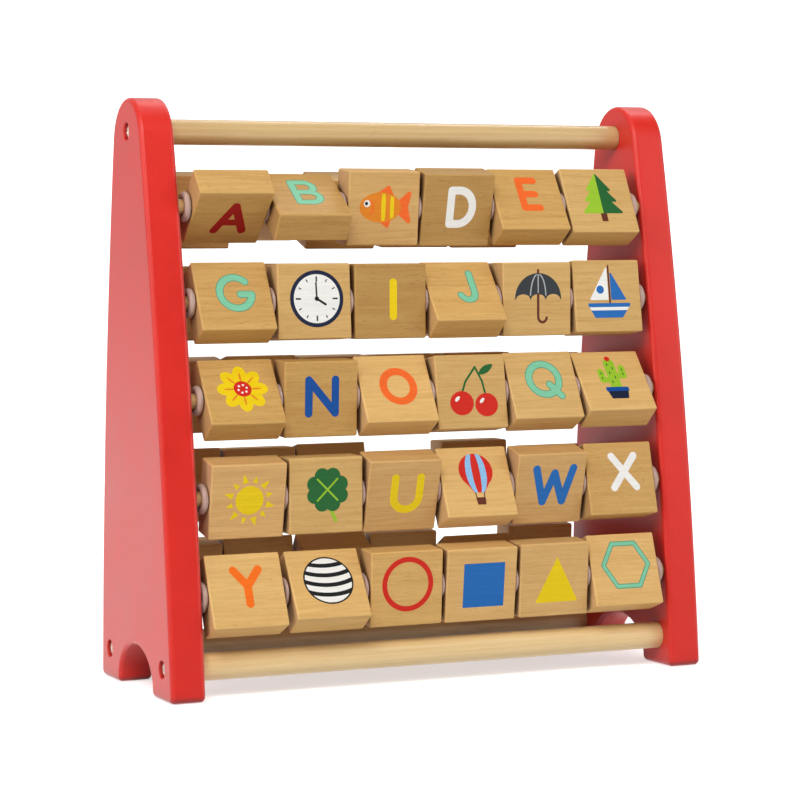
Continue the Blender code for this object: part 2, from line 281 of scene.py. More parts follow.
def lacquer(name, colour):
    """Satin lacquer sprayed on board: faint orange peel, slight clouding, paler rounded rims that are
    partly wear and partly a painted highlight, and painted shade, a deeper red, where the board stands close to other
    parts.
    """
    p = Paint(name)
    co = p.attribute("grain_co")
    cloud = p.noise(p.times(co, (0.03, 0.03, 0.03)), 4.0, 0.6)
    peel = p.noise(p.times(co, (0.55, 0.55, 0.55)), 2.0, 0.5)
    nap = p.noise(p.times(co, (1.9, 1.9, 0.5)), 3.0, 0.6)
    rim = p.split(p.attribute("board"))[1]
    body = p.mix(p.remap(cloud, 0.3, 0.7), tuple(0.94 * v for v in colour), tuple(min(1.0, 1.05 * v) for v in colour))
    # Paler rims: partly wear of the lacquer, partly a painted highlight along the rounded edges.
    edge_wear_and_highlight = p.math("MULTIPLY", rim, p.remap(nap, 0.35, 0.75, 0.0, 0.20))
    # Painted shade: the colour darkens to deep red where other parts lie within 14 mm, as in the gaps beside the
    # blocks.
    air = p.node("ShaderNodeAmbientOcclusion", {"Distance": 0.014}, samples=6).outputs["AO"]
    body = p.mix(p.remap(air, 0.25, 0.80, 0.0, 1.0, True), p.mix(1.0, body, (0.50, 0.25, 0.22), "MULTIPLY"), body)
    p.set(
        Base_Color=p.mix(edge_wear_and_highlight, body, linear(236, 92, 80)),
        Roughness=p.remap(p.math("ADD", p.math("MULTIPLY", cloud, 0.5), p.math("MULTIPLY", nap, 0.5)), 0.3, 0.7, 0.34, 0.44),
        Normal=p.bump(p.math("ADD", peel, p.math("MULTIPLY", nap, 0.25)), 0.16, 0.00016),
    )
    p.shader.inputs["Specular IOR Level"].default_value = 0.45
    p.shader.inputs["Sheen Weight"].default_value = 0.45
    p.shader.inputs["Sheen Roughness"].default_value = 0.3
    p.shader.inputs["Sheen Tint"].default_value = (1.0, 0.92, 0.90, 1.0)
    return p.material


def pale_ring(name):
    """Milky moulded ring with a faint mould cloud. Its pink tint is partly painted, standing in for red light from the
    panels shining through the ring.
    """
    p = Paint(name)
    co = p.attribute("grain_co")
    cloud = p.noise(p.times(co, (0.3, 0.3, 0.3)), 3.0, 0.6)
    p.set(
        Base_Color=p.mix(cloud, linear(214, 182, 168), linear(194, 162, 149)),
        Roughness=p.remap(cloud, 0.3, 0.7, 0.30, 0.42),
        Normal=p.bump(cloud, 0.08, 0.0002),
    )
    p.shader.inputs["Transmission Weight"].default_value = 0.18
    p.shader.inputs["IOR"].default_value = 1.4
    p.shader.inputs["Subsurface Weight"].default_value = 0.35
    p.shader.inputs["Subsurface Radius"].default_value = (1.0, 0.8, 0.6)
    p.shader.inputs["Subsurface Scale"].default_value = 0.0015
    return p.material


def zinc(name):
    p = Paint(name)
    co = p.attribute("grain_co")
    cloud = p.noise(p.times(co, (0.8, 0.8, 0.8)), 3.0, 0.6)
    scratch = p.noise(p.times(co, (2.0, 6.0, 0.8)), 2.0, 0.6)
    p.set(
        Base_Color=p.mix(cloud, (0.86, 0.82, 0.73), (0.74, 0.69, 0.58)),
        Metallic=1.0,
        Roughness=p.remap(scratch, 0.3, 0.7, 0.36, 0.52),
        Normal=p.bump(scratch, 0.1, 0.0001),
    )
    return p.material


BLOCK = wood("beech_block", linear(230, 190, 122), linear(200, 153, 86), linear(146, 98, 54), linear(216, 176, 128))
RAIL = wood("beech_rail", linear(236, 208, 154), linear(212, 174, 116), linear(176, 132, 80), linear(196, 152, 98), long=2.6, roughness=0.30, flecks=0.6, shine=0.75)
ROD = wood("beech_rod", linear(214, 172, 116), linear(186, 138, 84), linear(140, 94, 54), linear(170, 122, 74), long=2.0, roughness=0.55)
RED = lacquer("red_lacquer", linear(220, 34, 20))
RING = pale_ring("pale_ring")
ZINC = zinc("zinc_screw")
INK = {
    name: ink("ink_" + name, linear(*rgb))
    for name, rgb in {
        "crimson": (162, 14, 16),
        "red": (210, 34, 16),
        "orange": (242, 104, 34),
        "tangerine": (246, 110, 6),
        "amber": (228, 132, 24),
        "yellow": (238, 204, 0),
        "lime": (150, 194, 42),
        "green": (28, 96, 42),
        "mint": (126, 200, 162),
        "sage": (84, 150, 120),
        "sky": (142, 192, 234),
        "blue": (26, 104, 180),
        "royal": (0, 74, 152),
        "navy": (14, 24, 54),
        "white": (242, 240, 234),
        "silver": (176, 178, 178),
        "charcoal": (48, 52, 56),
        "black": (18, 18, 20),
        "brown": (98, 42, 22),
    }.items()
}


# ------------------------------------------------------------------ mesh helpers
def tidy(mesh, angle=35):
    bm = bmesh.new()
    bm.from_mesh(mesh)
    bmesh.ops.recalc_face_normals(bm, faces=bm.faces)
    bm.to_mesh(mesh)
    bm.free()
    mesh.shade_smooth()
    mesh.set_sharp_from_angle(angle=math.radians(angle))
    return mesh


def lathe(name, profile, segments, loop=False):
    """Solid of revolution about X from (x, radius) points. An open profile starts and
    ends on the axis; a loop makes a ring."""
    verts, rings = [], []
    for x, r in profile:
        count = segments if r > 0 else 1
        rings.append([len(verts) + k for k in range(count)])
        for k in range(count):
            a = math.tau * k / segments
            verts.append((x, r * math.cos(a), r * math.sin(a)))
    faces = []
    pairs = list(zip(rings, rings[1:])) + ([(rings[-1], rings[0])] if loop else [])
    for a, b in pairs:
        for k in range(segments):
            n = (k + 1) % segments
            quad = [a[k % len(a)], a[n % len(a)], b[n % len(b)], b[k % len(b)]]
            quad = list(dict.fromkeys(quad))
            if len(quad) > 2:
                faces.append(quad)
    mesh = bpy.data.meshes.new(name)
    mesh.from_pydata(verts, [], faces)
    return tidy(mesh)


def cut(mesh, tools, angle=35):
    """The mesh with the tools' shapes taken out of it."""
    body = bpy.data.objects.new("cut_body", mesh)
    scene.collection.objects.link(body)
    made = []
    for tool, matrix in tools:
        obj = bpy.data.objects.new("cut_tool", tool)
        obj.matrix_world = matrix
        scene.collection.objects.link(obj)
        made.append(obj)
        modifier = body.modifiers.new("cut", "BOOLEAN")
        modifier.operation, modifier.solver, modifier.object = "DIFFERENCE", "EXACT", obj
    bpy.context.view_layer.update()
    graph = bpy.context.evaluated_depsgraph_get()
    done = bpy.data.meshes.new_from_object(body.evaluated_get(graph))
    for obj in (body, *made):
        bpy.data.objects.remove(obj, do_unlink=True)
    done.name = mesh.name
    done.materials.clear()
    return tidy(done, angle)


def set_vectors(mesh, name, values):
    layer = mesh.attributes.get(name) or mesh.attributes.new(name, "FLOAT_VECTOR", "POINT")
    layer.data.foreach_set("vector", np.ascontiguousarray(values, np.float32).ravel())


def points_of(mesh):
    co = np.empty(len(mesh.vertices) * 3, np.float32)
    mesh.vertices.foreach_get("co", co)
    return co.reshape(-1, 3)


def grain(mesh, seed, tone=1.0, warm=0.0, gold=0.0):
    """Gives a mesh its wood coordinates, in millimetres, and the tone of its board."""
    r = random.Random(seed)
    co = points_of(mesh) * 1000 + np.array([r.uniform(-900, 900) for _ in range(3)])
    set_vectors(mesh, "grain_co", co)
    set_vectors(mesh, "board", np.tile((tone, warm, gold), (len(co), 1)))
    return mesh


def joined(name, items):
    """One mesh from (mesh, matrix) pairs, with their materials kept in order."""
    bm = bmesh.new()
    slots = []
    for mesh, matrix in items:
        first, first_face = len(bm.verts), len(bm.faces)
        bm.from_mesh(mesh)
        bm.verts.ensure_lookup_table()
        bm.faces.ensure_lookup_table()
        bmesh.ops.transform(bm, matrix=matrix, verts=bm.verts[first:])
        index = []
        for material in mesh.materials:
            if material not in slots:
                slots.append(material)
            index.append(slots.index(material))
        for face in bm.faces[first_face:]:
            face.material_index = index[face.material_index] if index else 0
    mesh = bpy.data.meshes.new(name)
    bm.to_mesh(mesh)
    bm.free()
    for material in slots:
        mesh.materials.append(material)
    return mesh


def piece(name, mesh, body, nodes=(), matrix=None, weighted=True):
    obj = bpy.data.objects.new(name, mesh)
    scene.collection.objects.link(obj)
    if matrix is not None:
        mesh.transform(matrix)
    if weighted:
        modifier = obj.modifiers.new("face_normals", "WEIGHTED_NORMAL")
        modifier.mode, modifier.weight, modifier.keep_sharp = "FACE_AREA", 60, True
    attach(obj, body)
    if nodes:
        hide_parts(*nodes)
    return obj


# ------------------------------------------------------------------ panels
def arc(cy, cz, radius, start, end, steps):
    angles = [math.radians(start + (end - start) * i / steps) for i in range(steps + 1)]
    return [(cy + radius * math.cos(a), cz + radius * math.sin(a)) for a in angles]


def panel_outline():
    low, high = 0.8 * HEIGHT, HEIGHT
    for _ in range(60):
        z_top = (low + high) / 2
        d, s = half_depth(z_top), slope(z_top)
        low, high = (z_top, high) if z_top + d * s + d * math.hypot(1, s) < HEIGHT else (low, z_top)
    centre_z = z_top + half_depth(z_top) * slope(z_top)
    top_r = HEIGHT - centre_z
    start = math.degrees(math.asin((z_top - centre_z) / top_r))
    half = arc(ARCH_HALF + ARCH_R, ARCH_R, ARCH_R, 180, 270, 10)
    half += arc(half_depth(FOOT_R) - FOOT_R, FOOT_R, FOOT_R, 270, 360, 10)
    half += [(half_depth(z), z) for z in (FOOT_R + (z_top - FOOT_R) * i / 40 for i in range(1, 40))]
    half += arc(0, centre_z, top_r, start, 90, 30)
    other = [(-y, z) for y, z in reversed(half[:-1])]
    arch = [
        (ARCH_HALF * math.cos(a), ARCH_R + (ARCH_H - ARCH_R) * math.sin(a))
        for a in (math.pi * (1 - i / 44) for i in range(1, 44))
    ]
    return half + other + arch


def panel_mesh(side):
    """A panel with rounded rims, rail sockets, blind rod holes and screw counterbores."""
    sign = -1 if side == "left" else 1
    bm = bmesh.new()
    verts = [bm.verts.new((sign * INNER_X, y, z)) for y, z in panel_outline()]
    face = bm.faces.new(verts)
    made = bmesh.ops.extrude_face_region(bm, geom=[face])
    moved = [v for v in made["geom"] if isinstance(v, bmesh.types.BMVert)]
    bmesh.ops.translate(bm, vec=(sign * PANEL_T, 0, 0), verts=moved)
    bm.edges.ensure_lookup_table()
    rims = [e for e in bm.edges if abs(e.verts[0].co.x - e.verts[1].co.x) < 1e-6]
    bmesh.ops.bevel(bm, geom=rims, offset=EDGE_R, offset_type="OFFSET", segments=6, profile=0.5, affect="EDGES")
    bmesh.ops.recalc_face_normals(bm, faces=bm.faces)
    mesh = bpy.data.meshes.new("side_panel_" + side)
    bm.to_mesh(mesh)
    bm.free()
    outer, c = WIDTH / 2, COUNTERBORE_R

    def hole(profile, segments, y, z):
        return lathe("hole", [(sign * x, r) for x, r in profile], segments), Matrix.Translation((0, y, z))

    tools = []
    for radius, y, z in RAILS.values():
        r = radius + 0.00012
        tools.append(hole([(INNER_X - 0.003, 0), (INNER_X - 0.003, r), (SOCKET_X, r), (SOCKET_X, 0)], 64, y, z))
        tools.append(hole([
            (SOCKET_X - 0.002, 0), (SOCKET_X - 0.002, 0.0020), (outer - COUNTERBORE_DEPTH, 0.0020),
            (outer - COUNTERBORE_DEPTH, c), (outer - 0.0004, c), (outer + 0.0002, c + 0.0006),
            (outer + 0.0020, c + 0.0006), (outer + 0.0020, 0)], 56, y, z))
    deep = INNER_X + 0.010
    for row in ROWS:
        for y in (-rod_y(row), rod_y(row)):
            tools.append(hole([(INNER_X - 0.003, 0), (INNER_X - 0.003, BORE_R), (deep, BORE_R), (deep, 0)], 40, y, row_z(row)))
    mesh = cut(mesh, tools)
    grain(mesh, "panel" + side)
    co = points_of(mesh)
    inset = PANEL_T / 2 - np.abs(np.abs(co[:, 0]) - INNER_X - PANEL_T / 2)
    rim = ((inset > 0.0001) & (inset < 0.75 * EDGE_R)).astype(float)
    set_vectors(mesh, "board", np.stack([np.ones(len(co)), rim, np.zeros(len(co))], -1))
    mesh.materials.append(RED)
    return mesh


for side in ("left", "right"):
    piece(f"side_panel_{side}", panel_mesh(side), "frame", [f"{side}_panel"])


# ------------------------------------------------------------------ rails, rods, rings, screws
def bar_profile(half, radius, bevel, seed, hole=None, sections=28):
    """A drawn dowel: softened ends and a hair out of true along its length."""
    r = random.Random(seed)
    middle = [
        (-half + bevel + (2 * half - 2 * bevel) * i / sections, radius * (1 - 0.004 * r.random()))
        for i in range(sections + 1)
    ]
    left = [(-half, radius - bevel)]
    right = [(half, radius - bevel)]
    if hole:
        deep, hr = hole
        left = [(-half + deep, 0.0), (-half + deep, hr), (-half, hr)] + left
        right = right + [(half, hr), (half - deep, hr), (half - deep, 0.0)]
    else:
        left, right = [(-half, 0.0)] + left, right + [(half, 0.0)]
    return left + middle + right


for rail, (radius, y, z) in RAILS.items():
    mesh = lathe(f"rail_{rail}", bar_profile(SOCKET_X - GAP, radius, 0.0008, rail, (SCREW_IN_RAIL + GAP, 0.0019)), 72)
    # The foot rails are paler than the top rail: partly their board, partly painted light standing in for light thrown
    # up from the floor, which here lights nothing.
    grain(mesh, "rail" + rail, *((0.90, 0.0, 0.4) if rail == "top" else (1.12, 0.0, 0.05)))
    mesh.materials.append(RAIL)
    piece(f"rail_{rail}", mesh, "frame", [RAIL_NODE[rail]], Matrix.Translation((0, y, z)))


def ring_profile(radius, thickness, hole):
    """Section of a spacer ring: a full round rim and a rounded bore."""
    t = thickness / 2
    soft, lip = t * 0.97, min(t * 0.6, 0.0009)
    rim = [
        (t - soft + soft * math.sin(a), radius - soft + soft * math.cos(a))
        for a in (math.radians(90 - 15 * i) for i in range(7))
    ]
    bore = [
        (t - lip + lip * math.sin(a), hole + lip - lip * math.cos(a))
        for a in (math.radians(30 * i) for i in range(4))
    ]
    half = bore + rim
    return half + [(-x, r) for x, r in reversed(half)]


def ring_row(name, places, radius, seed):
    made = {t: lathe("ring", ring_profile(radius, t, 0.00415), 56, loop=True) for t in sorted({t for x, t in places})}
    mesh = joined(name, [(made[t], Matrix.Translation((x, 0, 0))) for x, t in places])
    grain(mesh, seed)
    mesh.materials.append(RING)
    return mesh


for row in ROWS:
    for side, sign in (("front", -1), ("rear", 1)):
        at = Matrix.Translation((0, sign * rod_y(row), row_z(row)))
        mesh = lathe(f"rod_{side}_{row}", bar_profile(ROD_HALF, ROD_R, 0.0005, f"{side}{row}", sections=12), 40)
        grain(mesh, f"rod{side}{row}")
        mesh.materials.append(ROD)
        piece(f"rod_{side}_{row}", mesh, "frame", [f"{side}_rod_{row}"], at)
    piece(
        f"rings_front_{row}", ring_row(f"rings_front_{row}", rings(row), RING_R, f"ring{row}"),
        "frame", [f"front_rod_{row}"], Matrix.Translation((0, -rod_y(row), row_z(row))),
    )
    centres = [(REAR_SHIFT + (k - 3) * TILE_PITCH, RING_T) for k in range(7)]
    piece(
        f"rings_rear_{row}", ring_row(f"rings_rear_{row}", centres, REAR_RING_R, f"rearring{row}"),
        f"rear_tiles_row_{row}", [f"rear_tiles_row_{row}"],
        Matrix.Translation((0, rod_y(row), row_z(row))),
    )


def screw_mesh():
    """Pan-head wood screw along +X with a cross recess and a turned thread."""
    h, r = SCREW_HEAD_H, SCREW_HEAD_R
    end = SOCKET_X - GAP - SCREW_IN_RAIL - (WIDTH / 2 - COUNTERBORE_DEPTH + GAP)
    profile = [(end, 0.0), (end + 0.002, SCREW_SHANK_R * 0.7)]
    x = end + 0.003
    while x < -0.008:
        profile += [(x, SCREW_SHANK_R * 0.78), (x + 0.0005, SCREW_SHANK_R), (x + 0.0007, SCREW_SHANK_R), (x + 0.0012, SCREW_SHANK_R * 0.78)]
        x += 0.0014
    profile += [(-0.0055, SCREW_SHANK_R), (0.0, SCREW_SHANK_R), (0.0, r - 0.0002), (0.0003, r)]
    profile += [(h * 0.35 + h * 0.65 * math.sin(a), r * (0.30 + 0.70 * math.cos(a))) for a in (math.radians(15 * i) for i in range(7))]
    profile += [(h, 0.0)]
    body = lathe("screw", profile, 48)
    bm = bmesh.new()
    w, l = 0.00052, 0.00215
    outline = [(w, w), (w, l), (-w, l), (-w, w), (-l, w), (-l, -w), (-w, -w), (-w, -l), (w, -l), (w, -w), (l, -w), (l, w)]
    low = [bm.verts.new((h - 0.0017, 0.55 * y, 0.45 * z)) for y, z in outline]
    high = [bm.verts.new((h + 0.0005, 1.08 * y, 1.08 * z)) for y, z in outline]
    bm.faces.new(low)
    bm.faces.new(high)
    for i in range(12):
        j = (i + 1) % 12
        bm.faces.new((low[i], low[j], high[j], high[i]))
    bmesh.ops.recalc_face_normals(bm, faces=bm.faces)
    cross = bpy.data.meshes.new("cross")
    bm.to_mesh(cross)
    bm.free()
    return cut(body, [(cross, Matrix.Identity(4))])


SCREW = screw_mesh()
for k, (rail, (_, y, z)) in enumerate(RAILS.items()):
    for side, sign in (("left", -1), ("right", 1)):
        mesh = SCREW.copy()
        grain(mesh, f"screw{rail}{side}")
        mesh.materials.append(ZINC)
        turn = Matrix.Rotation(math.radians(23 + 37 * k + 11 * sign), 4, "X")
        flip = Matrix.Rotation(0 if sign > 0 else math.pi, 4, "Z")
        piece(
            f"screw_{side}_{rail}_head", mesh, "frame", [f"screw_{side}_{rail}"],
            Matrix.Translation((sign * (WIDTH / 2 - COUNTERBORE_DEPTH + GAP), y, z)) @ flip @ turn,
        )


# ------------------------------------------------------------------ drawing the prints
# A print is a stack of flat shapes. Each shape is a field of signed distances on a
# fine grid, negative inside, so shapes join and cut by minimum and maximum.
PITCH = 0.15
AXIS = np.arange(-120, 121) * PITCH
GU, GV = np.meshgrid(AXIS, AXIS)


def capsule(a, b, width):
    du, dv = b[0] - a[0], b[1] - a[1]
    t = np.clip(((GU - a[0]) * du + (GV - a[1]) * dv) / max(du * du + dv * dv, 1e-9), 0, 1)
    return np.hypot(GU - a[0] - t * du, GV - a[1] - t * dv) - width / 2


def join(*shapes):
    out = shapes[0]
    for shape in shapes[1:]:
        out = np.minimum(out, shape)
    return out


def meet(*shapes):
    out = shapes[0]
    for shape in shapes[1:]:
        out = np.maximum(out, shape)
    return out


def less(shape, *others):
    for other in others:
        shape = np.maximum(shape, -other)
    return shape


def stroke(points, width):
    return join(*(capsule(a, b, width) for a, b in zip(points, points[1:])))


def bend(u, v, ru, rv, start, end, steps=22):
    """Points along part of an oval, angles in degrees."""
    angles = [math.radians(start + (end - start) * i / steps) for i in range(steps + 1)]
    return [(u + ru * math.cos(a), v + rv * math.sin(a)) for a in angles]


def disc(u, v, r):
    return np.hypot(GU - u, GV - v) - r


def oval(u, v, ru, rv, turn=0.0):
    c, s = math.cos(math.radians(turn)), math.sin(math.radians(turn))
    x, y = (GU - u) * c + (GV - v) * s, (GV - v) * c - (GU - u) * s
    return (np.hypot(x / ru, y / rv) - 1) * min(ru, rv)


def poly(points, soft=0.0):
    """A polygon, grown and rounded by soft."""
    inside = np.zeros(GU.shape, bool)
    dist = np.full(GU.shape, 1e9)
    for (au, av), (bu, bv) in zip(points, points[1:] + points[:1]):
        dist = np.minimum(dist, capsule((au, av), (bu, bv), 0.0))
        if av != bv:
            inside ^= ((av > GV) != (bv > GV)) & (GU < (bu - au) * (GV - av) / (bv - av) + au)
    return np.where(inside, -dist, dist) - soft


def below(v):
    return GV - v


def right_of(u):
    return u - GU


LETTER_W = 4.1


def letter(name):
    w, t = LETTER_W, 8.6
    drawn = {
        "A": [[(-7.0, -t), (0, t), (7.0, -t)], [(-4.6, -3.0), (4.6, -3.0)]],
        "B": [[(-5.4, -t), (-5.4, t), (0.6, t)] + bend(0.6, 4.35, 4.4, 4.25, 90, -90) + [(-5.4, 0.1), (1.2, 0.1)]
              + bend(1.2, -4.25, 4.9, 4.35, 90, -90) + [(-5.4, -t)]],
        "C": [bend(0.6, 0, 8.4, t, 48, 312)],
        "D": [[(-5.6, -t), (-5.6, t), (-1.2, t)] + bend(-1.2, 0, 7.6, t, 90, -90) + [(-5.6, -t)]],
        "E": [[(4.3, t), (-4.3, t), (-4.3, -t), (4.3, -t)], [(-4.3, 0), (3.3, 0)]],
        "F": [[(5.6, t), (-4.6, t), (-4.6, -t)], [(-4.6, 0.3), (4.0, 0.3)]],
        "G": [bend(0, 0, 8.3, t, 46, 350) + [(8.2, -0.9), (2.4, -0.9)]],
        "H": [[(-6, -t), (-6, t)], [(6, -t), (6, t)], [(-6, 0), (6, 0)]],
        "I": [[(0, -t), (0, t)]],
        "J": [[(3.4, t), (3.4, -3.6)] + bend(-0.8, -3.6, 4.2, 5.0, 0, -158)],
        "K": [[(-5, -t), (-5, t)], [(5.6, t), (-4.6, -1.0)], [(-1.2, 2.2), (6.0, -t)]],
        "L": [[(-4.6, t), (-4.6, -t), (5.4, -t)]],
        "M": [[(-7.6, -t), (-6.8, t), (0, -2.6), (6.8, t), (7.6, -t)]],
        "N": [[(-7.3, -t), (-7.3, t), (7.3, -t), (7.3, t)]],
        "O": [bend(0, 0, 8.2, t, 0, 360, 40)],
        "P": [[(-4.8, -t), (-4.8, t), (0.6, t)] + bend(0.6, 4.0, 5.0, 4.6, 90, -90) + [(-4.8, -0.6)]],
        "Q": [bend(0, 0.2, 8.2, t - 0.2, 0, 360, 40), [(2.6, -2.8), (8.0, -9.2)]],
        "R": [[(-4.8, -t), (-4.8, t), (0.6, t)] + bend(0.6, 4.0, 5.0, 4.6, 90, -90) + [(-4.8, -0.6)], [(-0.2, -0.6), (6.0, -t)]],
        "S": [bend(0, 4.35, 5.4, 4.25, 32, 270) + bend(0, -4.25, 5.8, 4.35, 90, -148)],
        "T": [[(-7, t), (7, t)], [(0, t), (0, -t)]],
        "U": [[(-7, t), (-7, -1.8)] + bend(0, -1.8, 7, 6.8, 180, 360) + [(7, t)]],
        "V": [[(-7, t), (0, -t), (7, t)]],
        "W": [[(-10.2, t), (-5.4, -t), (0, 6.2), (5.4, -t), (10.2, t)]],
        "X": [[(-6.8, t), (6.8, -t)], [(6.8, t), (-6.8, -t)]],
        "Y": [[(-6.4, t), (0, 0.4), (6.4, t)], [(0, 0.4), (0, -t)]],
        "Z": [[(-6.2, t), (6.2, t), (-6.2, -t), (6.2, -t)]],
        "0": [bend(0, 0, 6.0, t, 0, 360, 40)],
        "1": [[(-4.4, 4.6), (0.8, t), (0.8, -t)]],
        "2": [bend(0, 3.6, 5.6, 5.0, 160, -28) + [(-5.6, -t), (5.8, -t)]],
        "3": [bend(-0.4, 4.35, 5.0, 4.25, 150, -90) + bend(-0.4, -4.25, 5.6, 4.35, 90, -152)],
        "4": [[(3.0, -t), (3.0, t), (-6.0, -3.6), (6.4, -3.6)]],
        "5": [[(5.0, t), (-4.2, t), (-4.8, 1.2)] + bend(-0.4, -3.0, 5.8, 5.6, 128, -150)],
        "6": [[(4.0, t), (-3.6, 1.0)] + bend(0, -3.2, 5.6, 5.4, 130, 490, 40)],
        "7": [[(-5.8, t), (5.8, t), (-1.6, -t)]],
        "8": [bend(0, 4.4, 4.6, 4.2, 0, 360, 36), bend(0, -4.1, 5.4, 4.5, 0, 360, 36)],
        "9": [[(-4.0, -t), (3.6, -1.0)] + bend(0, 3.2, 5.6, 5.4, -50, 310, 40)],
        "+": [[(-6.4, 0), (6.4, 0)], [(0, -6.4), (0, 6.4)]],
        "-": [[(-6.4, 0), (6.4, 0)]],
        "x": [[(-5, -5), (5, 5)], [(-5, 5), (5, -5)]],
        "=": [[(-6.4, 3.4), (6.4, 3.4)], [(-6.4, -3.4), (6.4, -3.4)]],
    }
    return join(*(stroke(line, w) for line in drawn[name]))


def fish():
    body = oval(-2.0, 0, 9.6, 6.4)
    tail = poly([(5.0, 0.6), (11.2, 5.8), (9.8, 0), (11.2, -5.8), (5.0, -0.6)], 1.0)
    fin = poly([(-4.0, 5.0), (1.6, 8.6), (3.6, 4.4)], 0.7)
    low = poly([(-2.4, -5.4), (1.4, -8.2), (2.6, -4.8)], 0.6)
    bands = meet(body + 0.5, join(oval(-0.6, 0, 1.0, 8), oval(3.4, 0, 0.9, 8)))
    gill = stroke(bend(-9.0, 0, 3.6, 4.0, -48, 48), 0.7)
    return [
        (join(tail, fin, low), "orange"), (body, "amber"), (bands, "yellow"), (gill, "orange"),
        (disc(-8.2, 1.6, 1.5), "white"), (disc(-8.5, 1.6, 0.75), "black"),
    ]


def tree():
    tiers = join(
        poly([(-5.6, 4.6), (0, 12.6), (5.6, 4.6)], 0.7), poly([(-7.6, -1.2), (0, 8.2), (7.6, -1.2)], 0.7),
        poly([(-9.6, -7.4), (0, 3.4), (9.6, -7.4)], 0.7),
    )
    return [
        (poly([(-1.2, -12.0), (1.2, -12.0), (1.2, -7.0), (-1.2, -7.0)], 0.4), "brown"),
        (tiers, "lime"), (meet(tiers, right_of(0.0)), "green"),
    ]


def clock():
    ticks = [
        capsule((10.4 * math.sin(a), 10.4 * math.cos(a)), (r * math.sin(a), r * math.cos(a)), w)
        for a, r, w in ((math.radians(30 * k), 8.4 if k % 3 == 0 else 9.3, 0.8 if k % 3 == 0 else 0.55) for k in range(12))
    ]
    hour, minute = math.radians(122), math.radians(-2)
    hands = join(
        capsule((0, 0), (5.2 * math.sin(hour), 5.2 * math.cos(hour)), 1.1),
        capsule((0, 0), (7.6 * math.sin(minute), 7.6 * math.cos(minute)), 0.8), disc(0, 0, 1.1),
    )
    return [(disc(0, 0, 13.6), "navy"), (disc(0, 0, 11.7), "white"), (join(*ticks), "charcoal"), (hands, "black")]


def umbrella():
    canopy = less(disc(0, -0.6, 12.2), oval(-8.1, -0.9, 4.1, 2.7), oval(0, -0.9, 4.1, 2.7), oval(8.1, -0.9, 4.1, 2.7))
    canopy = meet(canopy, -below(-0.7)) - 0.2
    ribs = meet(join(stroke(bend(0, -0.6, 4.2, 12.0, 0, 180), 0.6), capsule((0, -0.6), (0, 12), 0.6)), canopy + 0.6)
    shaft = join(stroke([(0, 2.0), (0, -9.4)] + bend(2.3, -9.4, 2.3, 2.6, 180, 350), 1.3), capsule((0, 11), (0, 13.2), 1.2))
    return [(shaft, "brown"), (canopy, "charcoal"), (ribs, "silver")]


def boat():
    hull = poly([(-10.0, -5.0), (10.4, -5.0), (6.4, -10.4), (-7.0, -10.4)], 0.7)
    main = poly([(-0.4, -2.4), (-0.4, 11.8), (-9.0, -2.4)], 0.4)
    jib = poly([(1.8, -2.4), (1.8, 9.4), (8.6, -2.4)], 0.4)
    stripe = meet(hull + 0.01, np.abs(GV + 6.9) - 0.75)
    return [(capsule((0.7, -5), (0.7, 13.0), 0.9), "brown"), (main, "white"), (jib, "blue"), (hull, "blue"), (stripe, "white"),
            (disc(-4.0, 2.0, 1.9), "blue")]


def flower():
    petals = join(*(oval(7.2 * math.cos(a), 7.2 * math.sin(a), 5.0, 3.4, math.degrees(a)) for a in (math.radians(45 * k) for k in range(8))))
    inner = join(*(oval(6.4 * math.cos(a), 6.4 * math.sin(a), 2.6, 0.45, math.degrees(a)) for a in (math.radians(45 * k) for k in range(8))))
    dots = join(*(disc(2.1 * math.cos(a), 2.1 * math.sin(a), 0.55) for a in (math.radians(60 * k + 15) for k in range(6))))
    return [(petals, "yellow"), (inner, "amber"), (disc(0, 0, 4.2), "red"), (dots, "white")]


def cherries():
    stems = join(stroke([(-5.6, -1.6), (-3.4, 4.0), (1.8, 10.6)], 1.0), stroke([(6.4, -2.6), (5.0, 4.0), (1.8, 10.6)], 1.0))
    leaf = meet(disc(9.6, 5.2, 6.6), disc(4.6, 13.6, 6.6))
    return [
        (stems, "green"), (leaf, "green"), (join(oval(-5.8, -6.0, 5.9, 5.6), oval(6.6, -7.0, 5.7, 5.4)), "red"),
        (join(oval(-8.0, -4.0, 1.5, 0.8, 45), oval(4.4, -5.0, 1.5, 0.8, 45)), "white"),
    ]


def cactus():
    stem = capsule((0, -6.0), (0, 9.2), 6.2)
    arms = join(stroke([(0, -1.0), (-6.2, -1.0), (-6.2, 4.2)], 3.6), stroke([(0, 1.6), (6.2, 1.6), (6.2, 6.4)], 3.6))
    marks = [(-1.2, 8.6), (1.2, 6.2), (-1.2, 3.4), (1.2, 0.6), (-1.2, -2.4), (-6.2, 3.2), (-6.2, 0.2), (6.2, 5.4), (6.2, 2.6)]
    spines = join(*(capsule((u, v - 0.55), (u, v + 0.55), 0.6) for u, v in marks))
    pot = poly([(-5.4, -7.0), (5.4, -7.0), (4.2, -12.2), (-4.2, -12.2)], 0.6)
    return [(join(stem, arms), "lime"), (spines, "green"), (pot, "navy"), (poly([(-6.0, -6.0), (6.0, -6.0), (6.0, -7.8), (-6.0, -7.8)], 0.4), "royal"),
            (disc(0, 12.2, 1.5), "red")]


def sun():
    rays = []
    for k in range(12):
        a = math.radians(30 * k + 15)
        c, s = math.cos(a), math.sin(a)
        tip, foot, half = (12.8, 9.0, 1.25) if k % 2 else (11.6, 9.0, 1.0)
        rays.append(poly([(tip * c, tip * s), (foot * c - half * s, foot * s + half * c), (foot * c + half * s, foot * s - half * c)], 0.25))
    return [(join(disc(0, 0, 7.0), *rays), "yellow")]


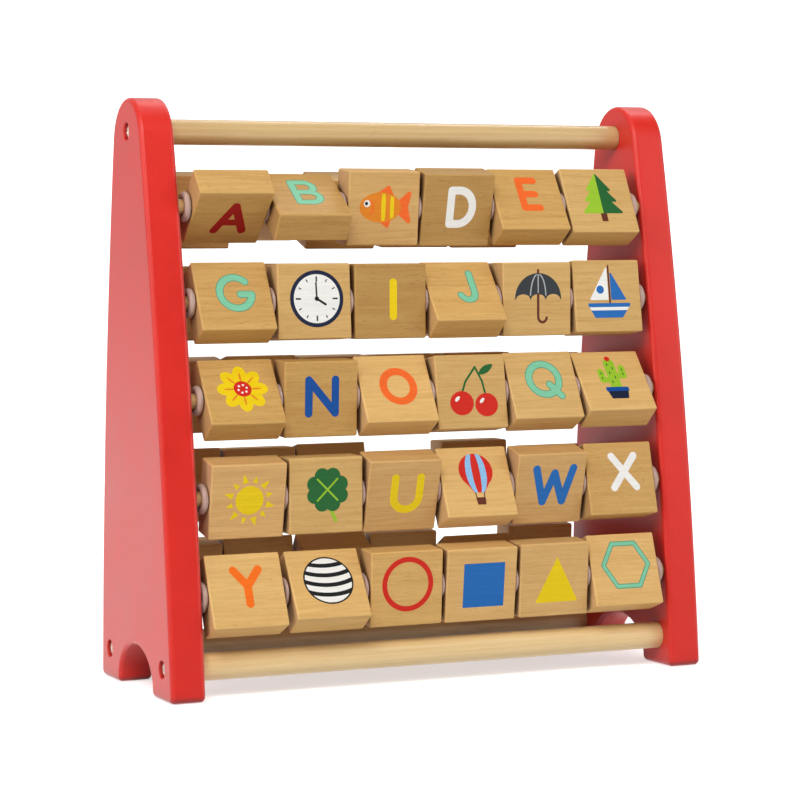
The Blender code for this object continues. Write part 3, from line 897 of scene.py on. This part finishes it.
def clover():
    lobes = []
    for k in range(4):
        a = math.radians(90 * k + 45)
        c, s = math.cos(a), math.sin(a)
        u, v = 6.0 * c, 6.0 * s + 1.6
        lobes += [disc(u - 2.5 * s, v + 2.5 * c, 3.5), disc(u + 2.5 * s, v - 2.5 * c, 3.5), poly([(0, 1.6), (u - 4.6 * s, v + 4.6 * c), (u + 4.6 * s, v - 4.6 * c)], 0.6)]
    veins = join(*(capsule((0, 1.6), (6.6 * math.cos(a), 6.6 * math.sin(a) + 1.6), 0.8) for a in (math.radians(90 * k + 45) for k in range(4))))
    return [(stroke([(0, 1.6), (0.8, -6.0), (3.8, -12.0)], 1.5), "lime"), (join(*lobes), "green"), (veins, "lime")]


def balloon():
    shell = join(disc(0, 4.0, 8.6), poly([(-6.6, -0.4), (6.6, -0.4), (2.4, -6.6), (-2.4, -6.6)], 0.4))
    gores = meet(join(less(oval(0, 3.2, 5.2, 11.2), oval(0, 3.2, 2.0, 11.2))), shell + 0.01)
    basket = poly([(-2.0, -9.8), (2.0, -9.8), (1.7, -12.6), (-1.7, -12.6)], 0.4)
    ropes = join(capsule((-2.3, -6.6), (-2.0, -9.8), 0.5), capsule((2.3, -6.6), (2.0, -9.8), 0.5))
    return [(ropes, "charcoal"), (shell, "red"), (gores, "sky"), (basket, "brown")]


def ball():
    whole = disc(0, 0, 11.2)
    stripes = [stroke(bend(0, 16.5 - 4.6 * k, 17.0, 9.5, 205, 335), 1.9) for k in range(-1, 6)]
    return [(whole, "black"), (disc(0, 0, 10.5), "white"), (meet(join(*stripes), disc(0, 0, 10.6)), "black")]


def star(colour="yellow"):
    pts = [(r * math.sin(math.radians(36 * k)), r * math.cos(math.radians(36 * k))) for k, r in enumerate([11.2, 5.0] * 5)]
    return [(poly(pts, 0.9), colour)]


def heart(colour="red"):
    return [(join(disc(-4.7, 3.6, 5.3), disc(4.7, 3.6, 5.3), poly([(-8.9, 1.0), (0, -9.6), (8.9, 1.0), (0, 4.0)], 0.9)), colour)]


def moon(colour="yellow"):
    return [(less(disc(-1.0, 0, 10.8), disc(4.6, 2.4, 9.4)), colour)]


def cloud(colour="sky"):
    return [(join(disc(-6.2, -2.0, 4.6), disc(-0.6, 2.2, 6.2), disc(6.2, -1.6, 5.0), poly([(-6.2, -5.6), (6.2, -5.6), (6.2, -2), (-6.2, -2)], 1.0)), colour)]


def drop(colour="blue"):
    return [(join(disc(0, -3.4, 6.8), poly([(-5.8, -0.4), (0, 10.6), (5.8, -0.4)], 0.5)), colour), (oval(-2.8, -3.6, 0.9, 2.4, -18), "sky")]


def kite(colour="orange"):
    sail = poly([(0, 11.6), (7.6, 3.2), (0, -8.0), (-7.6, 3.2)], 0.5)
    return [(stroke([(0, -8.0), (1.6, -10.4), (-1.0, -12.0), (0.6, -13.6)], 0.9), "navy"), (sail, colour),
            (meet(sail, right_of(0)), "yellow"), (join(capsule((0, 11.4), (0, -8), 0.6), capsule((-7.4, 3.2), (7.4, 3.2), 0.6)), "navy")]


def mushroom(colour="red"):
    cap = meet(oval(0, 0.4, 10.6, 9.8), -below(0.4)) - 0.6
    return [(poly([(-2.6, 0.6), (2.6, 0.6), (3.4, -8.6), (-3.4, -8.6)], 0.8), "white"), (cap, colour),
            (join(disc(-4.8, 4.0, 1.7), disc(2.2, 6.6, 2.0), disc(6.2, 2.6, 1.3)), "white")]


def dots(count, colour):
    across = {1: (1,), 2: (2,), 3: (2, 1), 4: (2, 2), 5: (2, 1, 2), 6: (3, 3), 7: (2, 3, 2), 8: (3, 2, 3), 9: (3, 3, 3), 10: (3, 4, 3)}[count]
    spots = []
    for i, n in enumerate(across):
        v = (len(across) - 1) * 3.9 - 7.8 * i
        spots += [disc((k - (n - 1) / 2) * 7.4, v, 2.7) for k in range(n)]
    return [(join(*spots), colour)]


def outline(shape, width):
    return np.abs(shape) - width / 2


def hexagon(r):
    return poly([(r * math.cos(math.radians(60 * k)), r * math.sin(math.radians(60 * k))) for k in range(6)])


def signs(text, colour, size=1.0):
    """One character, or two set side by side. Mint ink has a fine darker edge."""
    if len(text) == 1:
        shape = letter(text)
    else:
        shape = None
        for k, c in enumerate(text):
            moved = np.roll(letter(c), round((-7.2 + 14.4 * k) / PITCH), axis=1)
            shape = moved if shape is None else join(shape, moved)
    if colour == "mint":
        return [(shape, "sage"), (shape + 0.42, "mint")]
    return [(shape, colour)]


FRONT_PRINT = {
    (1, 1): signs("A", "crimson"), (1, 2): signs("B", "mint"), (1, 3): fish(), (1, 4): signs("D", "white"),
    (1, 5): signs("E", "orange"), (1, 6): tree(),
    (2, 1): signs("G", "mint"), (2, 2): clock(), (2, 3): signs("I", "yellow"), (2, 4): signs("J", "mint"),
    (2, 5): umbrella(), (2, 6): boat(),
    (3, 1): flower(), (3, 2): signs("N", "royal"), (3, 3): signs("O", "orange"), (3, 4): cherries(),
    (3, 5): signs("Q", "mint"), (3, 6): cactus(),
    (4, 1): sun(), (4, 2): clover(), (4, 3): signs("U", "yellow"), (4, 4): balloon(),
    (4, 5): signs("W", "blue"), (4, 6): signs("X", "white"),
    (5, 1): signs("Y", "tangerine"), (5, 2): ball(), (5, 3): [(outline(disc(0, 0, 12.7), 2.7), "red")],
    (5, 4): [(poly([(-10.9, -10.9), (10.9, -10.9), (10.9, 10.9), (-10.9, 10.9)], 0.4), "blue")],
    (5, 5): [(poly([(-11.4, -10.8), (11.4, -10.8), (0, 11.2)], 0.3), "yellow")],
    (5, 6): [(outline(hexagon(13.2), 2.7), "sage"), (outline(hexagon(13.2), 1.8), "mint")],
}
# Size, and how far to the right and up, of each print on its front face.
PRINT_PLACE = {
    (1, 1): (1.06, 1.6, 0.2), (1, 2): (1.05, 0.4, 1.3), (1, 3): (1.2, 0.4, 0.6), (1, 4): (1.03, 1.6, 1.8), (1, 5): (1.0, 0.8, 2.8), (1, 6): (1.12, 0.6, 1.0),
    (2, 1): (1.01, 1.0, 1.4), (2, 2): (1.06, 1.2, 1.2), (2, 3): (1.0, 1.4, 0.9), (2, 4): (1.0, 2.6, 2.4), (2, 5): (1.08, 0.6, 0.8), (2, 6): (1.15, 0.4, 1.0),
    (3, 1): (1.1, 0.6, 1.2), (3, 2): (0.98, 0.4, 1.3), (3, 3): (1.0, 1.2, 0.9), (3, 4): (1.12, 0.6, 0.8), (3, 5): (1.04, 0.8, 2.8), (3, 6): (1.04, 0.4, 1.2),
    (4, 1): (1.05, 0.8, 0.7), (4, 2): (1.15, 0.6, 1.0), (4, 3): (1.0, 2.0, 1.3), (4, 4): (1.1, 0.4, 1.4), (4, 5): (1.04, 1.8, 2.0), (4, 6): (0.97, 2.2, 3.4),
    (5, 1): (1.02, 0.8, 1.7), (5, 2): (1.18, 0.6, 1.4), (5, 3): (1.0, 0.4, 2.2), (5, 4): (1.02, 1.3, -0.2), (5, 5): (1.03, 1.4, -0.4), (5, 6): (1.0, 0.8, 2.3),
}
BACK_PRINT = {
    (1, 1): star(), (1, 2): heart(), (1, 3): signs("C", "orange"), (1, 4): moon(), (1, 5): cloud(), (1, 6): signs("F", "royal"),
    (2, 1): drop(), (2, 2): signs("H", "crimson"), (2, 3): kite(), (2, 4): mushroom(), (2, 5): signs("K", "white"), (2, 6): signs("L", "orange"),
    (3, 1): signs("M", "royal"), (3, 2): star("red"), (3, 3): heart("blue"), (3, 4): signs("P", "yellow"), (3, 5): moon("white"), (3, 6): signs("R", "crimson"),
    (4, 1): signs("S", "orange"), (4, 2): signs("T", "white"), (4, 3): cloud("white"), (4, 4): signs("V", "mint"), (4, 5): drop("royal"), (4, 6): kite("red"),
    (5, 1): mushroom("amber"), (5, 2): signs("Z", "royal"), (5, 3): [(disc(0, 0, 11.4), "orange")],
    (5, 4): [(outline(poly([(-10, -10), (10, -10), (10, 10), (-10, 10)]), 2.4), "red")],
    (5, 5): [(outline(poly([(-11, -9.4), (11, -9.4), (0, 10.6)]), 2.4), "royal")], (5, 6): [(hexagon(11.6), "yellow")],
}
REAR_PRINT = {
    (1, 1): signs("1", "royal"), (1, 2): dots(1, "red"), (1, 3): signs("2", "orange"), (1, 4): dots(2, "green"), (1, 5): signs("3", "crimson"), (1, 6): dots(3, "blue"),
    (2, 1): signs("4", "mint"), (2, 2): dots(4, "orange"), (2, 3): signs("5", "yellow"), (2, 4): dots(5, "royal"), (2, 5): signs("6", "white"), (2, 6): dots(6, "red"),
    (3, 1): signs("7", "orange"), (3, 2): dots(7, "mint"), (3, 3): signs("8", "royal"), (3, 4): dots(8, "yellow"), (3, 5): signs("9", "crimson"), (3, 6): dots(9, "white"),
    (4, 1): signs("10", "blue"), (4, 2): dots(10, "crimson"), (4, 3): signs("+", "orange"), (4, 4): signs("-", "mint"), (4, 5): signs("x", "white"), (4, 6): signs("=", "yellow"),
    (5, 1): star(), (5, 2): heart(), (5, 3): moon("white"), (5, 4): [(oval(0, 0, 12, 8), "mint")],
    (5, 5): [(poly([(0, 11), (8, 0), (0, -11), (-8, 0)], 0.8), "orange")], (5, 6): [(poly([(-3.4, 10), (3.4, 10), (3.4, 3.4), (10, 3.4), (10, -3.4), (3.4, -3.4), (3.4, -10), (-3.4, -10), (-3.4, -3.4), (-10, -3.4), (-10, 3.4), (-3.4, 3.4)], 0.5), "blue")],
}

# Which cell sides a contour runs between, by which corners are inside
# (1 low left, 2 low right, 4 high right, 8 high left). The inside is on its left.
TURNS = {
    1: "BL", 2: "RB", 3: "RL", 4: "TR", 6: "TB", 7: "TL", 8: "LT", 9: "BT", 11: "RT", 12: "LR", 13: "BR", 14: "LB",
}


def contours(field):
    """Closed outlines of the shape, anticlockwise round ink and clockwise round holes."""
    inside = field < 0
    code = inside[:-1, :-1] + 2 * inside[:-1, 1:] + 4 * inside[1:, 1:] + 8 * inside[1:, :-1]
    after = {}
    for j, i in zip(*np.nonzero((code > 0) & (code < 15))):
        c = int(code[j, i])
        sides = {"B": (0, j, i), "T": (0, j + 1, i), "L": (1, j, i), "R": (1, j, i + 1)}
        if c in (5, 10):
            full = field[j : j + 2, i : i + 2].mean() < 0
            runs = {(5, False): ("BL", "TR"), (5, True): ("BR", "TL"), (10, False): ("RB", "LT"), (10, True): ("LB", "RT")}[c, bool(full)]
        else:
            runs = (TURNS[c],)
        for a, b in runs:
            after[sides[a]] = sides[b]

    def place(side):
        up, j, i = side
        a = field[j, i]
        b = field[j + 1, i] if up else field[j, i + 1]
        t = a / (a - b)
        return (AXIS[i] + (0 if up else t * PITCH), AXIS[j] + (t * PITCH if up else 0))

    loops = []
    while after:
        start = next(iter(after))
        loop, at = [], start
        while at in after:
            loop.append(place(at))
            at = after.pop(at)
        loops.append(loop)
    return loops


def thinned(loop, tolerance=0.007):
    """The outline with the points dropped that lie on its straight runs."""
    p = np.array(loop)
    far = int(np.argmax(((p - p[0]) ** 2).sum(1)))
    keep = {0, far}
    todo = [(0, far), (far, len(p))]
    while todo:
        a, b = todo.pop()
        if b - a < 2:
            continue
        s, e = p[a], p[b % len(p)]
        d = e - s
        n = max(float(np.hypot(*d)), 1e-9)
        off = np.abs((p[a + 1 : b, 0] - s[0]) * d[1] - (p[a + 1 : b, 1] - s[1]) * d[0]) / n
        k = int(np.argmax(off))
        if off[k] > tolerance:
            keep.add(a + 1 + k)
            todo += [(a, a + 1 + k), (a + 1 + k, b)]
    return p[sorted(keep)]


def area(loop):
    x, y = loop[:, 0], loop[:, 1]
    return 0.5 * float(np.sum(x * np.roll(y, -1) - np.roll(x, -1) * y))


def surrounds(loop, point):
    x, y = loop[:, 0], loop[:, 1]
    x2, y2 = np.roll(x, -1), np.roll(y, -1)
    hit = ((y > point[1]) != (y2 > point[1])) & (point[0] < (x2 - x) * (point[1] - y) / np.where(y2 == y, 1e-9, y2 - y) + x)
    return bool(hit.sum() % 2)


def film(layers, bottom=-0.03, first=0.035, more=0.02):
    """The print as thin solids in face coordinates: vertices, faces and an ink for each face."""
    verts, faces, inks = [], [], []
    for level, (field, colour) in enumerate(layers):
        top = first + more * level
        loops = [thinned(x) for x in contours(field) if len(x) > 5]
        loops = [x for x in loops if len(x) > 2 and abs(area(x)) > 0.02]
        outer = [x for x in loops if area(x) > 0]
        holes = [x for x in loops if area(x) < 0]
        owner = {}
        for h, hole in enumerate(holes):
            around = [o for o, x in enumerate(outer) if surrounds(x, hole[0])]
            if around:
                owner.setdefault(min(around, key=lambda o: area(outer[o])), []).append(hole)
        for o, ring in enumerate(outer):
            rings = [ring] + owner.get(o, [])
            flat = [tuple(q) for x in rings for q in x]
            base = len(verts)
            count = len(flat)
            verts += [(u, v, bottom) for u, v in flat] + [(u, v, top) for u, v in flat]
            for t in tessellate_polygon([[Vector((u, v, 0)) for u, v in x] for x in rings]):
                a, b, c = (flat[k] for k in t)
                turn = (b[0] - a[0]) * (c[1] - a[1]) - (b[1] - a[1]) * (c[0] - a[0])
                if abs(turn) < 1e-12:
                    continue
                t = t if turn > 0 else t[::-1]
                faces.append([base + count + k for k in t])
                faces.append([base + k for k in reversed(t)])
                inks += [colour, colour]
            start = 0
            for x in rings:
                for k in range(len(x)):
                    a, b = base + start + k, base + start + (k + 1) % len(x)
                    faces.append([a, b, b + count, a + count])
                    inks.append(colour)
                start += len(x)
    return np.array(verts), faces, inks


def on_face(points, face):
    """Face coordinates in millimetres to the block's own metres. The second side of a
    block reads the right way up once the block is turned over on its rod."""
    u, v, h = points.T * MM
    t = TILE_T / 2
    return {
        "front": np.stack([u, -t - h, v], -1), "front_back": np.stack([u, t + h, -v], -1),
        "rear": np.stack([-u, t + h, v], -1), "rear_back": np.stack([-u, -t - h, -v], -1),
    }[face]


def print_mesh(name, sides, seed):
    """Prints of one block, on the given faces, as one mesh."""
    verts, faces, inks = [], [], []
    for face, (layers, (size, u, v)) in sides.items():
        points, f, k = film(layers)
        v = points * (size, size, 1.0) + (u, v, 0.0)
        faces += [[len(verts) + i for i in q] for q in f]
        verts += list(map(tuple, on_face(v, face)))
        inks += k
    mesh = bpy.data.meshes.new(name)
    mesh.from_pydata(verts, [], faces)
    names = list(dict.fromkeys(inks))
    for n in names:
        mesh.materials.append(INK[n])
    mesh.polygons.foreach_set("material_index", np.array([names.index(n) for n in inks], np.int32))
    mesh.shade_flat()
    grain(mesh, seed)
    return mesh


# ------------------------------------------------------------------ blocks
def block_mesh():
    """A sanded block, bored for its rod, with softened edges."""
    bm = bmesh.new()
    bmesh.ops.create_cube(bm, size=1.0)
    bmesh.ops.scale(bm, vec=(TILE_W, TILE_T, TILE_H), verts=bm.verts)
    bmesh.ops.bevel(bm, geom=bm.edges[:], offset=TILE_EDGE, offset_type="OFFSET", segments=4, profile=0.5, affect="EDGES")
    bmesh.ops.recalc_face_normals(bm, faces=bm.faces)
    mesh = bpy.data.meshes.new("block")
    bm.to_mesh(mesh)
    bm.free()
    e, r = TILE_W / 2, BORE_R
    bore = lathe("bore", [(-e - 0.002, 0), (-e - 0.002, r + 0.0005), (-e, r + 0.0005), (-e + 0.0005, r), (e - 0.0005, r), (e, r + 0.0005), (e + 0.002, r + 0.0005), (e + 0.002, 0)], 48)
    mesh = cut(mesh, [(bore, Matrix.Identity(4))], 40)
    inset = np.array([TILE_W, TILE_T, TILE_H]) / 2 - np.abs(points_of(mesh))
    # Bevel band of the block: its paler colour in the wood is partly sanding wear, partly a painted highlight.
    edge_wear_and_highlight = ((inset < 0.97 * TILE_EDGE).sum(1) > 1).astype(float)
    set_vectors(mesh, "edge", np.stack([edge_wear_and_highlight, edge_wear_and_highlight, edge_wear_and_highlight], -1))
    return mesh


BLOCK_MESH = block_mesh()
BLOCK_MESH.materials.append(BLOCK)
# Kinds of board by tone and gold, with the blocks cut from each; the rest are plain and vary a little.
BOARDS = {
    "umber": (0.73, 0.85, [(1, 4), (2, 3)]),
    "brown": (0.85, 0.75, [(1, 2), (3, 2)]),
    "tan": (0.93, 0.6, [(1, 1), (1, 5), (2, 1), (3, 1), (4, 6)]),
    "honey": (1.01, 0.4, [(2, 4), (5, 3)]),
    "dull": (0.93, 0.1, [(1, 3), (1, 6), (2, 2), (2, 5), (2, 6), (3, 4), (4, 2), (4, 3), (4, 5)]),
    "pale": (1.09, 0.1, [(3, 3), (4, 4), (5, 1), (5, 2), (5, 6)]),
}
PINK_BOARDS = {(4, 1): 0.8, (4, 3): 0.8, (4, 5): 0.8, (5, 4): 0.4, (5, 5): 0.4, (1, 3): 0.4}


def board(row, column, side):
    """Tone, pinkness and gold of the board that a block was cut from."""
    r = random.Random(f"board{side}{row}{column}")
    tone, warm, gold = r.uniform(0.97, 1.05), max(0.0, r.uniform(-0.6, 0.3)), max(0.0, r.uniform(-0.5, 0.3))
    if side == "front":
        for kind_tone, kind_gold, blocks in BOARDS.values():
            if (row, column) in blocks:
                tone, gold = kind_tone, kind_gold
        warm = PINK_BOARDS.get((row, column), 0.0)
    return tone, warm, gold


for row in ROWS:
    for column in COLUMNS:
        name = f"r{row}_c{column}"
        at = Matrix.Translation((tile_x(row, column, True), -rod_y(row), row_z(row))) @ Matrix.Rotation(
            -math.radians(FRONT_TILT[row][column - 1]), 4, "X"
        )
        mesh = BLOCK_MESH.copy()
        mesh.name = f"block_{name}"
        grain(mesh, f"block{name}", *board(row, column, "front"))
        piece(f"block_{name}", mesh, f"tile_{name}", [f"tile_{name}"], at)
        sides = {"front": (FRONT_PRINT[row, column], PRINT_PLACE[row, column]), "front_back": (BACK_PRINT[row, column], (1.0, 0.0, 0.4))}
        piece(f"print_{name}", print_mesh(f"print_{name}", sides, f"block{name}"), f"tile_{name}", matrix=at, weighted=False)
    blocks, prints = [], []
    for column in COLUMNS:
        at = Matrix.Translation((tile_x(row, column, False), 0, 0)) @ Matrix.Rotation(math.radians(REAR_TILT[row][column - 1]), 4, "X")
        mesh = BLOCK_MESH.copy()
        grain(mesh, f"rear{row}{column}", *board(row, column, "rear"))
        blocks.append((mesh, at))
        prints.append((print_mesh("rear", {"rear": (REAR_PRINT[row, column], (1.0, 0.0, 0.6))}, f"rear{row}{column}"), at))
    at = Matrix.Translation((0, rod_y(row), row_z(row)))
    body = f"rear_tiles_row_{row}"
    piece(f"rear_blocks_{row}", joined(f"rear_blocks_{row}", blocks), body, [body], at)
    piece(f"rear_prints_{row}", joined(f"rear_prints_{row}", prints), body, matrix=at, weighted=False)


# ------------------------------------------------------------------ stage
def floor_material():
    p = Paint("pale_floor")
    co = p.node("ShaderNodeTexCoord").outputs["Object"]
    far = p.node("ShaderNodeVectorMath", {0: co}, operation="LENGTH").outputs["Value"]
    p.set(
        Base_Color=p.mix(p.noise(p.times(co, (3.0, 3.0, 3.0)), 2.0), (0.86, 0.86, 0.86), (0.88, 0.88, 0.88)),
        Roughness=0.9,
        Emission_Strength=p.remap(far, 0.25, 1.6, 0.58, 1.05, True),
    )
    p.shader.inputs["Specular IOR Level"].default_value = 0.0
    p.shader.inputs["Emission Color"].default_value = (1.0, 1.0, 1.0, 1.0)
    return p.material


def shade_material():
    p = Paint("floor_shade")
    co = p.node("ShaderNodeTexCoord").outputs["Object"]
    p.set(
        Base_Color=p.mix(p.noise(p.times(co, (3.0, 3.0, 3.0)), 2.0), (0.15, 0.11, 0.07), (0.18, 0.13, 0.085)),
        Roughness=0.9,
    )
    p.shader.inputs["Specular IOR Level"].default_value = 0.0
    return p.material


def plane(name, size, at, material):
    bm = bmesh.new()
    bmesh.ops.create_grid(bm, x_segments=8, y_segments=8, size=1.0)
    bmesh.ops.scale(bm, vec=(*size, 1.0), verts=bm.verts)
    mesh = bpy.data.meshes.new(name)
    bm.to_mesh(mesh)
    bm.free()
    mesh.materials.append(material)
    obj = bpy.data.objects.new(name, mesh)
    obj.location = at
    scene.collection.objects.link(obj)
    return obj


# The floor lights nothing, so that undersides stay shaded; the patch below the object
# stands for the shadow that it throws on the floor between its feet.
floor = plane("floor", (12.0, 12.0), (0, 0, -0.0003), floor_material())
floor.visible_diffuse = False
shade = plane("floor_shade", (0.14, 0.052), (0, 0.020, -0.0006), shade_material())
shade.visible_camera = False


def backdrop_material():
    p = Paint("white_backdrop")
    co = p.node("ShaderNodeTexCoord").outputs["Object"]
    p.set(
        Base_Color=(0.9, 0.9, 0.9),
        Emission_Color=p.mix(p.noise(p.times(co, (0.4, 0.4, 0.4)), 2.0), (1.0, 1.0, 1.0), (0.99, 0.99, 0.99)),
    )
    p.shader.inputs["Emission Strength"].default_value = 1.1
    return p.material


def wall(name, radius, height, material):
    """A round wall about the floor, the same from every side."""
    bm = bmesh.new()
    bmesh.ops.create_cone(bm, segments=64, radius1=radius, radius2=radius, depth=height)
    mesh = bpy.data.meshes.new(name)
    bm.to_mesh(mesh)
    bm.free()
    mesh.materials.append(material)
    obj = bpy.data.objects.new(name, mesh)
    scene.collection.objects.link(obj)
    return obj


backdrop = wall("backdrop", 11.0, 30.0, backdrop_material())
backdrop.visible_diffuse = backdrop.visible_glossy = backdrop.visible_shadow = False


def studio():
    """A dim room, brighter behind, with little light from below."""
    world = bpy.data.worlds.new("studio")
    world.use_nodes = True
    tree = world.node_tree
    way = tree.nodes.new("ShaderNodeTexCoord").outputs["Generated"]
    parts = tree.nodes.new("ShaderNodeSeparateXYZ")
    tree.links.new(way, parts.inputs[0])

    def ramp(output, start, end, low, high):
        node = tree.nodes.new("ShaderNodeMapRange")
        node.interpolation_type = "SMOOTHSTEP"
        for name, value in {"From Min": start, "From Max": end, "To Min": low, "To Max": high}.items():
            node.inputs[name].default_value = value
        tree.links.new(output, node.inputs["Value"])
        return node.outputs[0]

    blend = tree.nodes.new("ShaderNodeMix")
    blend.inputs[2].default_value = 0.70
    tree.links.new(ramp(parts.outputs[2], -0.20, 0.0, 0.0, 1.0), blend.inputs[0])
    tree.links.new(ramp(parts.outputs[1], -0.35, 0.50, 0.02, 0.50), blend.inputs[3])
    tree.links.new(blend.outputs[0], tree.nodes["Background"].inputs["Strength"])
    tree.nodes["Background"].inputs["Color"].default_value = (1.0, 1.0, 1.0, 1.0)
    return world


scene.world = studio()


def softbox(name, at, to, size, watts, colour=(1.0, 1.0, 1.0)):
    light = bpy.data.lights.new(name, "AREA")
    light.shape = "RECTANGLE"
    light.size, light.size_y = size
    light.energy = watts
    light.color = colour
    obj = bpy.data.objects.new(name, light)
    obj.location = at
    obj.rotation_euler = (Vector(to) - Vector(at)).to_track_quat("-Z", "Y").to_euler()
    scene.collection.objects.link(obj)
    return obj


softbox("key", (-0.9, -1.5, 1.6), (0, 0, 0.14), (1.0, 1.0), 31.8)
softbox("right_fill", (1.7, -1.4, 0.7), (0, 0, 0.14), (1.0, 1.0), 13.0)
softbox("front_right", (0.9, -1.5, 1.6), (0, 0, 0.14), (1.0, 1.0), 4.0)
softbox("side", (-2.0, -0.4, 0.8), (0, 0, 0.14), (1.0, 1.0), 13.0)
softbox("overhead", (0.0, 0.0, 1.8), (0, 0, 0.14), (1.2, 1.2), 3.2)
softbox("rail_glint", (0.64, 0.66, 1.55), (0, 0, 0.28), (0.8, 0.25), 4.2)

camera_data = bpy.data.cameras.new("camera")
camera_data.sensor_width = 36.0
camera_data.lens = 116.59
camera_data.clip_start, camera_data.clip_end = 0.05, 60.0
camera = bpy.data.objects.new("camera", camera_data)
yaw, pitch, roll = 0.4016, -0.0403, -0.0128
ahead = Vector((math.sin(yaw) * math.cos(pitch), math.cos(yaw) * math.cos(pitch), math.sin(pitch)))
right = Vector((math.cos(yaw), -math.sin(yaw), 0.0))
up = right.cross(ahead)
across = math.cos(roll) * right + math.sin(roll) * up
upward = -math.sin(roll) * right + math.cos(roll) * up
camera.matrix_world = Matrix.Translation((-0.53469, -1.26111, 0.19851)) @ Matrix((across, upward, -ahead)).transposed().to_4x4()
scene.collection.objects.link(camera)
scene.camera = camera

scene.view_settings.view_transform = "Standard"
scene.view_settings.look = "None"

bpy.context.view_layer.update()
